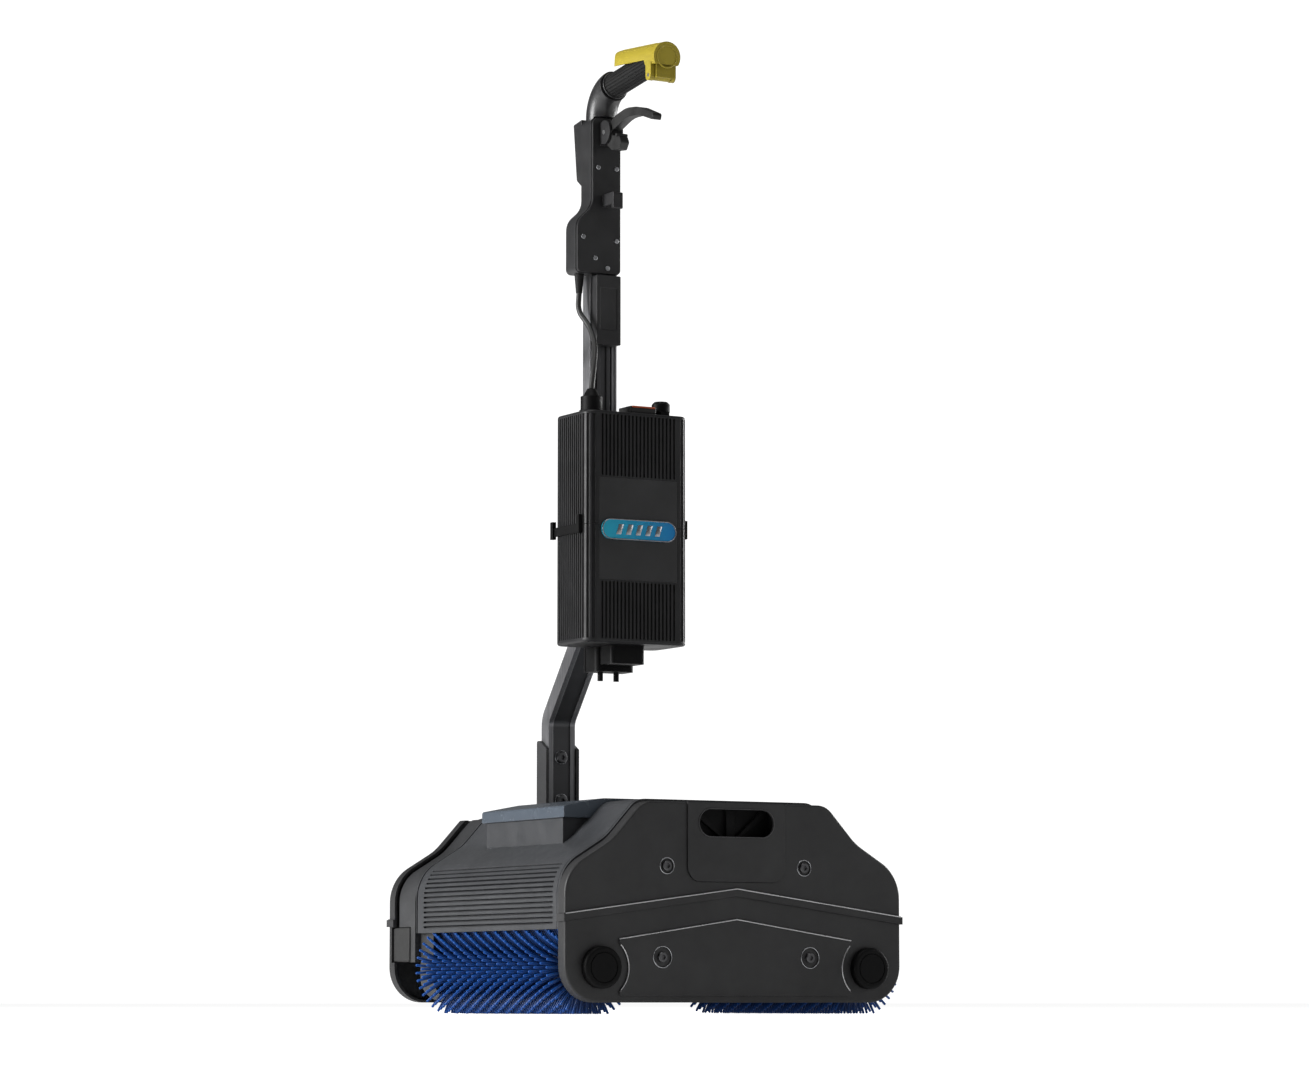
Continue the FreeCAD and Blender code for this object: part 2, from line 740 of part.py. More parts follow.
motor = cylinder("x", motor_x, motor_y, motor_z, motor_r)
motor = motor.makeFillet(4, [e for e in motor.Edges if e.BoundBox.XLength < 0.1])
bell = ring("x", (case_x[1], motor_x[0]), motor_y, motor_z, motor_r - 5, 20)
motor = fuse(motor, bell)
rotor_end = motor_x[0] + 55
motor = motor.cut(cylinder("x", (motor_x[0] - 1, rotor_end + 1), motor_y, motor_z,
                           rotor_r + running))
save("drive_motor", motor)
rotor = cylinder("x", (gear_x, rotor_end), motor_y, motor_z, rotor_r)
pulley = cylinder("x", (belt_one_x, belt_one_x + belt_w), motor_y, motor_z, pinion_r)
pinion = cylinder("x", (gear_x, gear_x + gear_w), motor_y, motor_z, pinion_r)
save("motor_rotor", fuse(rotor, pulley, pinion))
wheel = cylinder("x", (gear_x, gear_x + gear_w), gear_y, gear_z, gear_r)
small = cylinder("x", (belt_two_x, gear_x), gear_y, gear_z, gear_pulley_r)
axle_bore = cylinder("x", (far_frame_x, gear_x - 2), gear_y, gear_z, axle_r + running)
save("reversing_gear", fuse(wheel, small).cut(axle_bore))
brush_pulley_x = (belt_one_x, belt_one_x + belt_w)
front_loop = [(0, drum_z, brush_pulley_r), (motor_y, motor_z, pinion_r),
              (-brush_y, brush_r, brush_pulley_r)]
front_belt = belt_loop(front_loop, belt_t, brush_pulley_x)
rear_loop = [(brush_y, brush_r, rear_pulley_r), (gear_y, gear_z, gear_pulley_r)]
rear_belt = belt_loop(rear_loop, belt_t, (belt_two_x, belt_two_x + belt_w))
save("drive_belts", group([front_belt, rear_belt]))

# ---- brushes and pickup drum ----
for name, y, inner_x, pulley_r in (("front", -brush_y, belt_one_x, brush_pulley_r),
                                   ("rear", brush_y, belt_two_x, rear_pulley_r)):
    core = cylinder("x", (brush_far_x, brush_near_x), y, brush_r, core_r)
    shaft = cylinder("x", (inner_x, near_frame_x + 7), y, brush_r, shaft_r)
    wheel = cylinder("x", (inner_x, inner_x + belt_w), y, brush_r, pulley_r)
    save(name + "_brush_core", fuse(core, shaft, wheel))
    ends = (brush_far_x + 2, brush_near_x - 1)
    save(name + "_brush_bristles", ring("x", ends, y, brush_r, brush_r, core_r + 0.02))
drum = cylinder("x", (brush_far_x + 3, brush_near_x - 2), 0, drum_z, drum_r)
drum = fuse(drum, cylinder("x", (belt_one_x, near_frame_x + 7), 0, drum_z, shaft_r))
save("pickup_drum", fuse(drum, cylinder("x", brush_pulley_x, 0, drum_z, brush_pulley_r)))

# ---- handle bracket, pin, pole ----
pin_x = (-side_x + cover_skin, far_frame_x)
save("handle_pin", cylinder("x", pin_x, 0, pivot_z, pivot_r))
save("handle_bush", ring("x", bracket_x, 0, pivot_z, bush_r, pivot_r + running))
side_points = [
    (bracket_x[0], pivot_z, 0),
    (bracket_x[1], pivot_z, 0),
    (bracket_x[1], bracket_top_z - bracket_slope, 2),
    (bracket_x[0] + 6, bracket_top_z, 2),
    (bracket_x[0], bracket_top_z, 4),
]
bracket = prism(side_points, "y", (-bracket_half, bracket_half))
bracket = fuse(bracket, cylinder("x", bracket_x, 0, pivot_z, bracket_half))
inside_half = bracket_half - bracket_wall
bracket = bracket.cut(box((bracket_x[0] + bracket_wall, 0), (-inside_half, inside_half),
                          (pole_foot_z - 1, 400)))
bracket = bracket.cut(cylinder("x", (bracket_x[0] - 1, bracket_x[1] + 1), 0, pivot_z,
                               bush_r + 0.02))
for z in pole_bolt_z:
    bracket = bracket.cut(cylinder("x", (-260, -150), 0, z, 4.3))
save("handle_bracket", bracket)


def strip(path, half, radius):
    """Outline of a bent bar of half thickness half along an open (x, z) path."""
    sides = {1: [], -1: []}
    for i, p in enumerate(path):
        before = path[max(i - 1, 0)]
        after = path[min(i + 1, len(path) - 1)]
        ways = []
        for a, b in ((before, p), (p, after)):
            length = math.hypot(b[0] - a[0], b[1] - a[1])
            if length > 0:
                ways.append(((b[0] - a[0]) / length, (b[1] - a[1]) / length))
        n = [(-w[1], w[0]) for w in ways]
        m = n[-1]
        share = half / (1 + n[0][0] * m[0] + n[0][1] * m[1])
        cross = ways[0][0] * ways[-1][1] - ways[0][1] * ways[-1][0]
        for side in (1, -1):
            x = p[0] + side * share * (n[0][0] + m[0])
            z = p[1] + side * share * (n[0][1] + m[1])
            bent = abs(cross) > 0.01
            r = radius - side * math.copysign(half, cross) if bent else 0
            sides[side].append((x, z, max(r, 0.5) if bent else 0))
    return sides[-1] + sides[1][::-1]


pole_path = [(pole_low_x, pole_foot_z), (pole_low_x, crank_z[0]), (pole_high_x, crank_z[1]),
             (pole_high_x, pole_top_z)]
pole = prism(strip(pole_path, pole_half_x, crank_r), "y", (-pole_half_y, pole_half_y))
bore_half = pole_half_y - pole_wall
pole_bore = strip(pole_path, pole_half_x - pole_wall, crank_r)
pole = pole.cut(prism(pole_bore, "y", (-bore_half, bore_half)))
channel = prism(strip(pole_path, pole_half_x + 2, crank_r), "y", (-channel_half, channel_half))
channel_floor = strip(pole_path, pole_half_x - channel_depth, crank_r)
channel = channel.cut(prism(channel_floor, "y", (-channel_half - 1, channel_half + 1)))
channel_end = crank_z[1] + 12
pole = pole.cut(channel.common(box((-300, 0), (-50, 50), (pole_foot_z - 1, channel_end))))
slot_x = (pole_high_x + pole_half_x - 1.6, pole_high_x + pole_half_x + 1)
for y in ((-4, 4), (8.5, 10.5), (-10.5, -8.5), (13.5, 14.8), (-14.8, -13.5)):
    pole = pole.cut(box(slot_x, y, (crank_z[1] + 15, pole_top_z + 1)))
for z in pole_bolt_z:
    pole = pole.cut(cylinder("x", (-260, -150), 0, z, 4.3))
save("pole", pole)
button_bolts = []
for z in pole_bolt_z:
    seat = pole_low_x + pole_half_x - channel_depth
    head = cylinder("x", (seat, seat + 4), 0, z, 7.5)
    head = head.makeFillet(2.5, [e for e in head.Edges if e.BoundBox.XMin > seat + 1])
    key = [(2.9 * math.cos(math.radians(60 * i)), z + 2.9 * math.sin(math.radians(60 * i)), 0)
           for i in range(6)]
    head = fuse(head, cylinder("x", (bracket_x[0], seat), 0, z, 4))
    button_bolts.append(head.cut(prism(key, "x", (seat + 1.5, seat + 5))))
save("pole_bolts", group(button_bolts))

# ---- battery and its cradle ----
cradle_x = (pole_face + 0.2, battery_x[0] - 0.2)
cradle = box(cradle_x, (-30, 30), (480, 660))
cradle = fuse(cradle, box(cradle_x, (-25, 25), (battery_z[0] - 28, 481)),
              prism(rectangle((cradle_x[0], -57.2), (-25, 25), 6), "z",
                    (battery_z[0] - 28, battery_z[0])))
for y in (-10.4, 10.4):
    cradle = fuse(cradle, cylinder("z", (battery_z[0] - 38, battery_z[0] - 28), -75, y, 3.2))
save("battery_cradle", cradle)

plan = rectangle(battery_x, (-battery_half, battery_half), battery_corner)
case_solid = prism(plan, "z", battery_z)
case_solid = case_solid.makeFillet(3.0, [e for e in case_solid.Edges
                                         if e.BoundBox.ZLength < 0.01])
hollow_z = (battery_z[0] + battery_wall, battery_z[1] - battery_wall)
case_solid = case_solid.cut(prism(inset(plan, battery_wall), "z", hollow_z))
grooves = []
rib_bands = ((battery_z[0] + 5, window_z[0] - 2), (window_z[1] + 2, battery_z[1] - 4))
front_count = int(2 * window_half / rib_pitch)
for band in rib_bands:
    for i in range(front_count):
        y = (i - (front_count - 1) / 2) * rib_pitch
        grooves.append(box((battery_x[1] - rib_depth, battery_x[1] + 1),
                           (y - rib_w / 2, y + rib_w / 2), band))
side_span = battery_x[1] - battery_x[0] - 2 * battery_corner
side_count = int(side_span / rib_pitch)
mid_x = (battery_x[0] + battery_x[1]) / 2
for side in (-1, 1):
    y = sorted((side * (battery_half - rib_depth), side * (battery_half + 1)))
    for i in range(side_count):
        x = mid_x + (i - (side_count - 1) / 2) * rib_pitch
        grooves.append(box((x - rib_w / 2, x + rib_w / 2), y,
                           (battery_z[0] + 5, battery_z[1] - 4)))
for cx, cy, way in ((battery_x[1] - battery_corner, battery_half - battery_corner, 45),
                    (battery_x[0] + battery_corner, battery_half - battery_corner, 135),
                    (battery_x[0] + battery_corner, battery_corner - battery_half, 225),
                    (battery_x[1] - battery_corner, battery_corner - battery_half, 315)):
    for turn in (-30, 0, 30):
        angle = math.radians(way + turn)
        x = cx + battery_corner * math.cos(angle)
        y = cy + battery_corner * math.sin(angle)
        grooves.append(cylinder("z", (battery_z[0] + 5, battery_z[1] - 4), x, y, rib_depth))
case_solid = case_solid.cut(group(grooves))
plate_room = box((battery_x[1] - 1.2, battery_x[1] + 1), (-window_half, window_half), window_z)
case_solid = case_solid.cut(plate_room)
case_solid = case_solid.cut(cylinder("z", (battery_z[1] - 10, battery_z[1] + 1), port_x, -8, 4.7))
lower_shell = case_solid.common(box((-200, 100), (-100, 100), (0, battery_split_z - 0.2)))
upper_shell = case_solid.common(box((-200, 100), (-100, 100), (battery_split_z + 0.2, 900)))
save("battery_lower_shell", lower_shell)
save("battery_face_plate", box((battery_x[1] - 1.2, battery_x[1]),
                               (0.2 - window_half, window_half - 0.2),
                               (window_z[0] + 0.2, window_z[1] - 0.2)))
badge_rows = (badge_z - badge_h / 2, badge_z + badge_h / 2)
badge = prism(rectangle((-badge_half, badge_half), badge_rows, badge_h / 2 - 0.01), "x",
              (battery_x[1], battery_x[1] + 2))
save("battery_badge", badge)
cell_x = (battery_x[0] + battery_wall + 3, battery_x[1] - battery_wall - 3)
cell_y = battery_half - battery_wall - 4
save("battery_cells", box(cell_x, (-cell_y, cell_y), (hollow_z[0], hollow_z[1] - 12)))
latches = []
for side in (-1, 1):
    face = side * battery_half
    strap_y = sorted((face, face + side * 2.5))
    clip_y = sorted((face, face + side * 4.5))
    latch = box((-80, -18), strap_y, (541, 551))
    latch = fuse(latch, box((-84, -78), clip_y, (538, 558)), box((-22, -16), clip_y, (540, 561)))
    latches.append(latch)
save("battery_latches", group(latches))
save("battery_socket", prism(rectangle((-57, -27), (-22, 22), 5), "z",
                             (battery_z[0] - 21, battery_z[0])))

top_z = battery_z[1]


def turned_piece(x, y, steps):
    """Stack of coaxial discs and cones standing at x, y: (z0, z1, r0, r1)."""
    solids = []
    for z0, z1, r0, r1 in steps:
        if r0 == r1:
            solids.append(Part.makeCylinder(r0, z1 - z0, Vector(x, y, z0)))
        else:
            solids.append(Part.makeCone(r0, r1, z1 - z0, Vector(x, y, z0)))
    return fuse(*solids)


plug = turned_piece(port_x, -41, [(top_z, top_z + 4, 14, 14), (top_z + 4, top_z + 20, 12.5, 12.5),
                                  (top_z + 20, top_z + 29, 10, 5)])
save("battery_plug", plug)
hexagon = [(port_x + 11.5 * math.cos(math.radians(60 * i + 30)),
            50 + 11.5 * math.sin(math.radians(60 * i + 30)), 0) for i in range(6)]
gland = fuse(prism(hexagon, "z", (top_z, top_z + 8)),
             turned_piece(port_x, 50, [(top_z + 8, top_z + 17, 10.5, 10.5),
                                       (top_z + 17, top_z + 20, 10.5, 7.5)]))
save("vent_gland", gland)
port_span_x = (-56.0, -26.0)
port_span_y = (2.0, 36.0)
port_z = (top_z, top_z + 4)
port = prism(rectangle(port_span_x, port_span_y, 2), "z", port_z)
port = port.cut(box((-52, -30), (6, 32), (top_z + 1, top_z + 10)))
save("battery_upper_shell", fuse(upper_shell, port))
flap = prism(rectangle((port_span_x[0] + 0.5, port_span_x[1]), port_span_y, 2), "z",
             (port_z[1] + 0.3, port_z[1] + 7))
save("charge_flap", flap)
button = cylinder("z", (top_z - 3, top_z + 4), port_x, -8, 4.6)
save("battery_button", button.makeFillet(1, [e for e in button.Edges
                                             if e.BoundBox.ZMin > top_z + 3]))

# ---- cover block on the pole ----
block_x = (pole_face + 0.2, pole_face + 13)
block = prism(rectangle((-15.6, 15.6), (768, 849), 1.5), "x", block_x)
block = block.cut(box((block_x[1] - 0.6, 0), (-11, 11), (785, 834)))
save("pole_junction_box", block)

# ---- handle head: rear shell with neck, front cover, fin ----
head_points = [
    (bulge_y, head_z[0], 6),
    (head_half, head_z[0], 6),
    (head_half, head_z[1], head_top_r),
    (-head_half, head_z[1], head_top_r),
    (-head_half, bulge_z[1], 22),
    (bulge_y, bulge_z[0], 22),
]
head = prism(head_points, "x", head_x)
fin = prism([(head_x[0] + 1, 957, 0), (head_x[0] + 1, 1036, 0), (-126, 1033, 2), (-118, 966, 5)],
            "y", (-head_half, head_half))
head = fuse(head, fin)
cavity_x = (pole_high_x - pole_half_x - 0.1, head_x[1] + 1)
cavity = prism(inset(head_points, head_wall), "x", cavity_x)
cavity = cavity.cut(box((-300, 300), (-100, 100), (1000, 1200)))
head = head.cut(cavity)
head = head.cut(box((cavity_x[0], pole_face + 0.1), (-pole_half_y - 0.1, pole_half_y + 0.1),
                    (head_z[0] - 5, head_z[0] + 10)))
bend = Vector(head_mid_x + neck_bend_r, 0, head_z[1])
neck_turn = 90 - grip_tilt
circle = Part.Wire(Part.makeCircle(neck_r, Vector(head_mid_x, 0, head_z[1]), Vector(0, 0, 1)))
neck = Part.Face(circle).revolve(bend, Vector(0, 1, 0), neck_turn)
tilt = math.radians(grip_tilt)
along = Vector(math.cos(tilt), 0, math.sin(tilt))
grip_start = bend + Vector(-math.sin(tilt), 0, math.cos(tilt)) * neck_bend_r
spigot = Part.makeCylinder(spigot_r, grip_len, grip_start, along)
root = cylinder("z", (head_z[1] - neck_run, head_z[1]), head_mid_x, 0, neck_r)
root = root.common(box((-300, head_x[1]), (-50, 50), (900, 1100)))
head = fuse(head, root, neck, spigot)
save("handle_head", head)
front_points = [(y, z, r) for y, z, r in inset(head_points, 0.8)]
front_cover = prism(front_points, "x", (head_x[1], head_x[1] + head_front_t))
save("head_switch", box((-98, head_x[1]), (-35, -20), (872, 900)))
screws = []
screw_x = head_x[1] + head_front_t
for y, z in ((-11.5, 976), (12.9, 976), (-31, 893), (12.9, 891), (-15, 869), (1.3, 858)):
    head_disc = cylinder("x", (screw_x, screw_x + 1.4), y, z, 2.8)
    screws.append(head_disc.makeFillet(0.6, [e for e in head_disc.Edges
                                             if e.BoundBox.XMin > screw_x + 1]))
save("head_screws", group(screws))
hook_points = [(screw_x, 930, 0), (screw_x + 21, 930, 1), (screw_x + 21, 925, 1),
               (screw_x + 26, 925, 1), (screw_x + 26, 944, 2), (screw_x, 944, 0)]
save("head_front_cover", fuse(front_cover, prism(hook_points, "y", (-5.3, 7))))
relief = turned_piece(-95, -28, [(829, head_z[0], 3.7, 5.6)])
save("strain_relief", relief)

# ---- grip, hinge block, dead-man lever ----
grip = Part.makeCylinder(grip_r, grip_len, grip_start, along)
grip = grip.cut(Part.makeCylinder(spigot_r + 0.02, grip_len, grip_start, along))
save("grip", grip)
grip_end = grip_start + along * grip_len
tab_half = cheek_y[0] - 0.5
tab = box((lever_pin[0] - 5, lever_pin[0] + 9), (-tab_half, tab_half),
          (lever_pin[1] - 3, lever_pin[1] + 14))
hinge = fuse(Part.makeCylinder(11, 4, grip_end, along), tab,
             cylinder("y", (-tab_half, tab_half), lever_pin[0], lever_pin[1], 5.5))
hinge = hinge.cut(Part.makeCylinder(grip_r + 0.5, grip_len, grip_start, along))
hinge = hinge.cut(cylinder("y", (-20, 20), lever_pin[0], lever_pin[1], 2.05))
save("lever_hinge_block", hinge)


def lever_solid(low_x, high_x, r, low_z):
    tube = Part.makeCylinder(r, high_x - low_x, Vector(low_x, 0, 0), Vector(1, 0, 0))
    return tube.common(box((low_x - 1, high_x + 1), (-40, 40), (low_z, 40)))


lever = fuse(lever_solid(-lever_len, 0, lever_r, -3.5), lever_solid(-24, 0, lever_r, -9))
inner_r = lever_r - lever_wall
lever = lever.cut(lever_solid(-lever_len - 1, -2.5, inner_r, -30))
lever_plan = [(-lever_len, -lever_r - 1, lever_r), (1, -lever_r - 1, 0),
              (1, lever_r + 1, 0), (-lever_len, lever_r + 1, lever_r)]
lever = lever.common(prism(lever_plan, "z", (-40, 40)))
lever_side = [(-lever_len, -20, 0), (1, -20, 0), (1, lever_r + 1, 0), (-lever_len, lever_r, 12)]
lever = lever.common(prism(lever_side, "y", (-40, 40)))
lever.Placement = FreeCAD.Placement(Vector(62, 0, 1080), FreeCAD.Rotation(Vector(0, 1, 0), lever_tilt))
for side in (-1, 1):
    y = sorted((side * cheek_y[0], side * cheek_y[1]))
    cheek = fuse(cylinder("y", y, lever_pin[0], lever_pin[1], 6),
                 box((lever_pin[0] - 6, lever_pin[0] + 6), y, (lever_pin[1], lever_pin[1] + 15)))
    cheek = cheek.cut(Part.makeCylinder(grip_r + 1.2, grip_len + 8, grip_start, along))
    lever = fuse(lever, cheek)
lever = lever.cut(cylinder("y", (-20, 20), lever_pin[0], lever_pin[1], 2.05))
save("dead_man_lever", lever)

# ---- trigger ----
mount = box((screw_x, screw_x + 1.5), (-9, 9), (1002, 1030))
for side in (-1, 1):
    y = sorted((side * (trigger_half + 0.5), side * 9))
    disc = cylinder("y", y, trigger_pin[0], trigger_pin[1], cheek_r)
    mount = fuse(mount, disc.common(box((screw_x, 0), (-10, 10), (900, 1100))))
mount = mount.cut(cylinder("y", (-10, 10), trigger_pin[0], trigger_pin[1], 2.55))
save("trigger_mount", mount)
save("lever_pins", group([cylinder("y", (-cheek_y[1], cheek_y[1]), *lever_pin, 2.0),
                          cylinder("y", (-9.5, 9.5), *trigger_pin, 2.5)]))
arm_points = [(-72, 1012, 2), (-46, 1019, 30), (-24, 1025.5, 60), (4, 1023.5, 60), (37.5, 1011.5, 2),
              (40, 1018.5, 3), (4, 1033, 60), (-24, 1036.5, 60), (-50, 1032, 40), (-70, 1022.5, 4)]
arm = prism(arm_points, "y", (-trigger_half, trigger_half))
heel_points = [(-72, 1003, 2), (-58, 993, 3), (-42, 991, 3), (-36, 999, 3), (-40, 1006, 2),
               (-56, 1010, 2), (-60, 1024, 2), (-71, 1022, 0)]
heel = prism(heel_points, "y", (-trigger_half, trigger_half))
hub = cylinder("y", (-trigger_half, trigger_half), *trigger_pin, 6.5)
barrel = cylinder("y", (-7.2, 7.2), -45, 1008.5, 2.2)
trigger = fuse(arm, heel, hub, barrel)
trigger = trigger.cut(cylinder("y", (-10, 10), *trigger_pin, 2.55))
save("trigger_lever", trigger)


# ---- battery lead: straight runs joined by tangent arcs ----
def cord_path(points):
    route = [Vector(*p) for p in points]
    edges = []
    start = route[0]
    for i in range(1, len(route) - 1):
        a, b, c = route[i - 1], route[i], route[i + 1]
        p = (a - b).normalize()
        q = (c - b).normalize()
        turn = math.pi - p.getAngle(q)
        run = min((a - b).Length, (c - b).Length)
        radius = 0.45 * run / math.tan(turn / 2)
        print("cord arc radius", round(radius, 1))
        reach = 0.45 * run
        middle = (p + q).normalize() * (radius / math.cos(turn / 2) - radius)
        edges.append(Part.LineSegment(start, b + p * reach).toShape())
        edges.append(Part.Arc(b + p * reach, b + middle, b + q * reach).toShape())
        start = b + q * reach
    edges.append(Part.LineSegment(start, route[-1]).toShape())
    return Part.Wire(edges)


path = cord_path(cable_route)
first = (Vector(*cable_route[1]) - Vector(*cable_route[0])).normalize()
section = Part.Wire(Part.makeCircle(cable_r, Vector(*cable_route[0]), first))
cable = path.makePipeShell([section], True, True)
print("cord length", round(path.Length, 1), "volume check",
      round(cable.Volume / (math.pi * cable_r ** 2 * path.Length), 4))
save("battery_lead", cable)
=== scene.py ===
import json
import math

import bpy
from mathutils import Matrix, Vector


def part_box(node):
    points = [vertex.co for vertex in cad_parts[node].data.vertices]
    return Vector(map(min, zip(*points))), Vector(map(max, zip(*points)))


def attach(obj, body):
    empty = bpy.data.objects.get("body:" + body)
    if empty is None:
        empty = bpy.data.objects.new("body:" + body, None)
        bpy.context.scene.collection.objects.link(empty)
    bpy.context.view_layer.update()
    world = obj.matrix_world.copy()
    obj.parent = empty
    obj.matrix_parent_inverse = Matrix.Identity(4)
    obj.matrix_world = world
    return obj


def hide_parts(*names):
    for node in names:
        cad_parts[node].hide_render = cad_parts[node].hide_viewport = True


# %% [markdown]
# # A walk-behind floor scrubber, dressed for its portrait
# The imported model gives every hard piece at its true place. This lesson loads it, sets up the
# camera and the studio, mixes the finishes, and then models by hand the pieces that need more
# than plain solids: the bristles, the ribbed grip, the fluted lever, the badge and small trims.

# %% Load the frame and measure it
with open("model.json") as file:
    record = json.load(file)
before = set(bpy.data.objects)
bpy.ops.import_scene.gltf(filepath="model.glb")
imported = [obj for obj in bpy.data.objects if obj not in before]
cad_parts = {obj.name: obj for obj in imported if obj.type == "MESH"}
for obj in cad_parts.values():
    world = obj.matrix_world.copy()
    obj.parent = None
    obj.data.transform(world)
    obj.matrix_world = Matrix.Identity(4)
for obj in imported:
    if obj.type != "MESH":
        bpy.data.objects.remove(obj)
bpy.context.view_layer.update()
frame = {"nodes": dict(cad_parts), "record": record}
nodes = frame["nodes"]

# %% [markdown]
# ## Camera
# The machine is seen from just above the floor, a long way off, so its upright lines stay
# parallel. A long lens from a low stand point gives that calm, tall look. The camera looks
# slightly up, so its aim is built from a level heading and a pitch.

# %% Camera
HEADING = (-0.87027, 0.49257, 0.0)
PITCH = math.radians(6.28)
STAND = (4.1262, -2.3169, 0.0130)
aim = Vector(HEADING) * math.cos(PITCH) + Vector((0, 0, math.sin(PITCH)))
camera_data = bpy.data.cameras.new("camera")
camera_data.lens = 115.45
camera_data.sensor_width = 36.0
camera_data.clip_end = 200.0
camera = bpy.data.objects.new("camera", camera_data)
camera.location = STAND
camera.rotation_mode = "QUATERNION"
camera.rotation_quaternion = aim.to_track_quat("-Z", "Y")
bpy.context.collection.objects.link(camera)
bpy.context.scene.camera = camera
print("camera looks along", [round(v, 3) for v in aim])

# %% [markdown]
# ## Studio
# A black machine on white needs large soft lights: each one draws a broad sheen on the satin
# plastic, and that sheen is what shows the shape. The strongest panel stands on the left of the
# view, ahead of the machine. A weak one stands on the right, one behind draws bright rims, and
# one hangs above. The floor is a pale sheet that runs far past the view and glows a little, so
# that the undersides aren't lost.

# %% Floor, sky and lights
FLOOR_GLOW = 0.18  # what the floor gives off to everything but the camera
SEEN_GLOW = 0.66  # what it gives off besides, where the camera sees it
SKY_LIGHT = 0.11
SKY_SEEN = 1.15
bpy.ops.object.select_all(action="DESELECT")
bpy.ops.mesh.primitive_plane_add(size=80, location=(0, 0, -0.0004))
floor = bpy.context.object
floor.name = "floor"
floor_finish = bpy.data.materials.new("floor_paper")
floor_finish.use_nodes = True
floor_shader = floor_finish.node_tree.nodes["Principled BSDF"]
floor_shader.inputs["Base Color"].default_value = (0.93, 0.93, 0.93, 1)
floor_shader.inputs["Roughness"].default_value = 0.6
floor_shader.inputs["Emission Color"].default_value = (1, 1, 1, 1)
floor_path = floor_finish.node_tree.nodes.new("ShaderNodeLightPath")
floor_glow = floor_finish.node_tree.nodes.new("ShaderNodeMath")
floor_glow.operation = "MULTIPLY_ADD"
floor_glow.inputs[1].default_value = SEEN_GLOW
floor_glow.inputs[2].default_value = FLOOR_GLOW
floor_finish.node_tree.links.new(floor_path.outputs["Is Camera Ray"], floor_glow.inputs[0])
floor_finish.node_tree.links.new(floor_glow.outputs[0], floor_shader.inputs["Emission Strength"])
floor.data.materials.append(floor_finish)

world = bpy.data.worlds.new("studio_sky")
bpy.context.scene.world = world
world.use_nodes = True
sky = world.node_tree
sky_shader = sky.nodes["Background"]
sky_shader.inputs["Color"].default_value = (1, 1, 1, 1)
sky_path = sky.nodes.new("ShaderNodeLightPath")
sky_level = sky.nodes.new("ShaderNodeMapRange")
sky_level.inputs["To Min"].default_value = SKY_LIGHT
sky_level.inputs["To Max"].default_value = SKY_SEEN
sky.links.new(sky_path.outputs["Is Camera Ray"], sky_level.inputs["Value"])
sky.links.new(sky_level.outputs["Result"], sky_shader.inputs["Strength"])


def softbox(name, place, size, watts, target=(0, 0, 0.45)):
    """A large square light that faces the machine."""
    data = bpy.data.lights.new(name, "AREA")
    data.size = size
    data.energy = watts
    light = bpy.data.objects.new(name, data)
    light.location = place
    light.rotation_mode = "QUATERNION"
    light.rotation_quaternion = (Vector(target) - Vector(place)).to_track_quat("-Z", "Y")
    bpy.context.collection.objects.link(light)


softbox("front_panel", (-0.9, -3.4, 1.3), 1.8, 175)
softbox("side_panel", (2.2, 3.2, 1.5), 1.4, 15)
softbox("rim_panel", (-0.7, 3.2, 1.1), 1.4, 60)
softbox("top_panel", (0.4, -0.4, 3.4), 1.6, 30)
bpy.context.scene.view_settings.view_transform = "Standard"
print("studio lights", 4)

# %% [markdown]
# ## Moulded plastic
# Almost everything is injection-moulded. Up close such plastic is never flat: the mould was
# etched, which leaves a fine grain, the colour drifts a little with the flow, handling polishes
# some spots and dulls others, and every edge is slightly round. One recipe builds all of that
# from noise on Object coordinates, and each finish changes only the amounts. The Bevel node
# rounds the shading at edges, so that they catch the light as real ones do, and painted shade
# darkens the colour where walls close the surface in.


# %% The moulded plastic recipe
def new_finish(name):
    """An empty finish: the material, its nodes, its links and its main shader."""
    material = bpy.data.materials.new(name)
    material.use_nodes = True
    tree = material.node_tree
    return material, tree, tree.nodes["Principled BSDF"]


def noise(tree, scale, detail=3.0, stretch=(1, 1, 1)):
    """Noise on Object coordinates, with cells of about 1 / scale metres."""
    place = tree.nodes.new("ShaderNodeTexCoord")
    mapping = tree.nodes.new("ShaderNodeMapping")
    mapping.inputs["Scale"].default_value = stretch
    texture = tree.nodes.new("ShaderNodeTexNoise")
    texture.inputs["Scale"].default_value = scale
    texture.inputs["Detail"].default_value = detail
    tree.links.new(place.outputs["Object"], mapping.inputs["Vector"])
    tree.links.new(mapping.outputs["Vector"], texture.inputs["Vector"])
    return texture.outputs["Fac"]


def spread(tree, value, low, high, start=0.3, end=0.7):
    """Maps a noise value onto the range low to high."""
    node = tree.nodes.new("ShaderNodeMapRange")
    node.inputs["From Min"].default_value = start
    node.inputs["From Max"].default_value = end
    node.inputs["To Min"].default_value = low
    node.inputs["To Max"].default_value = high
    tree.links.new(value, node.inputs["Value"])
    return node.outputs["Result"]


def blend(tree, factor, first, second, way="MIX"):
    """Blends two colours by a factor. Each of the three is a value or a socket."""
    node = tree.nodes.new("ShaderNodeMix")
    node.data_type = "RGBA"
    node.blend_type = way
    for index, value in ((0, factor), (6, first), (7, second)):
        if isinstance(value, bpy.types.NodeSocket):
            tree.links.new(value, node.inputs[index])
        elif isinstance(value, tuple):
            node.inputs[index].default_value = (*value, 1)
        else:
            node.inputs[index].default_value = value
    return node.outputs[2]


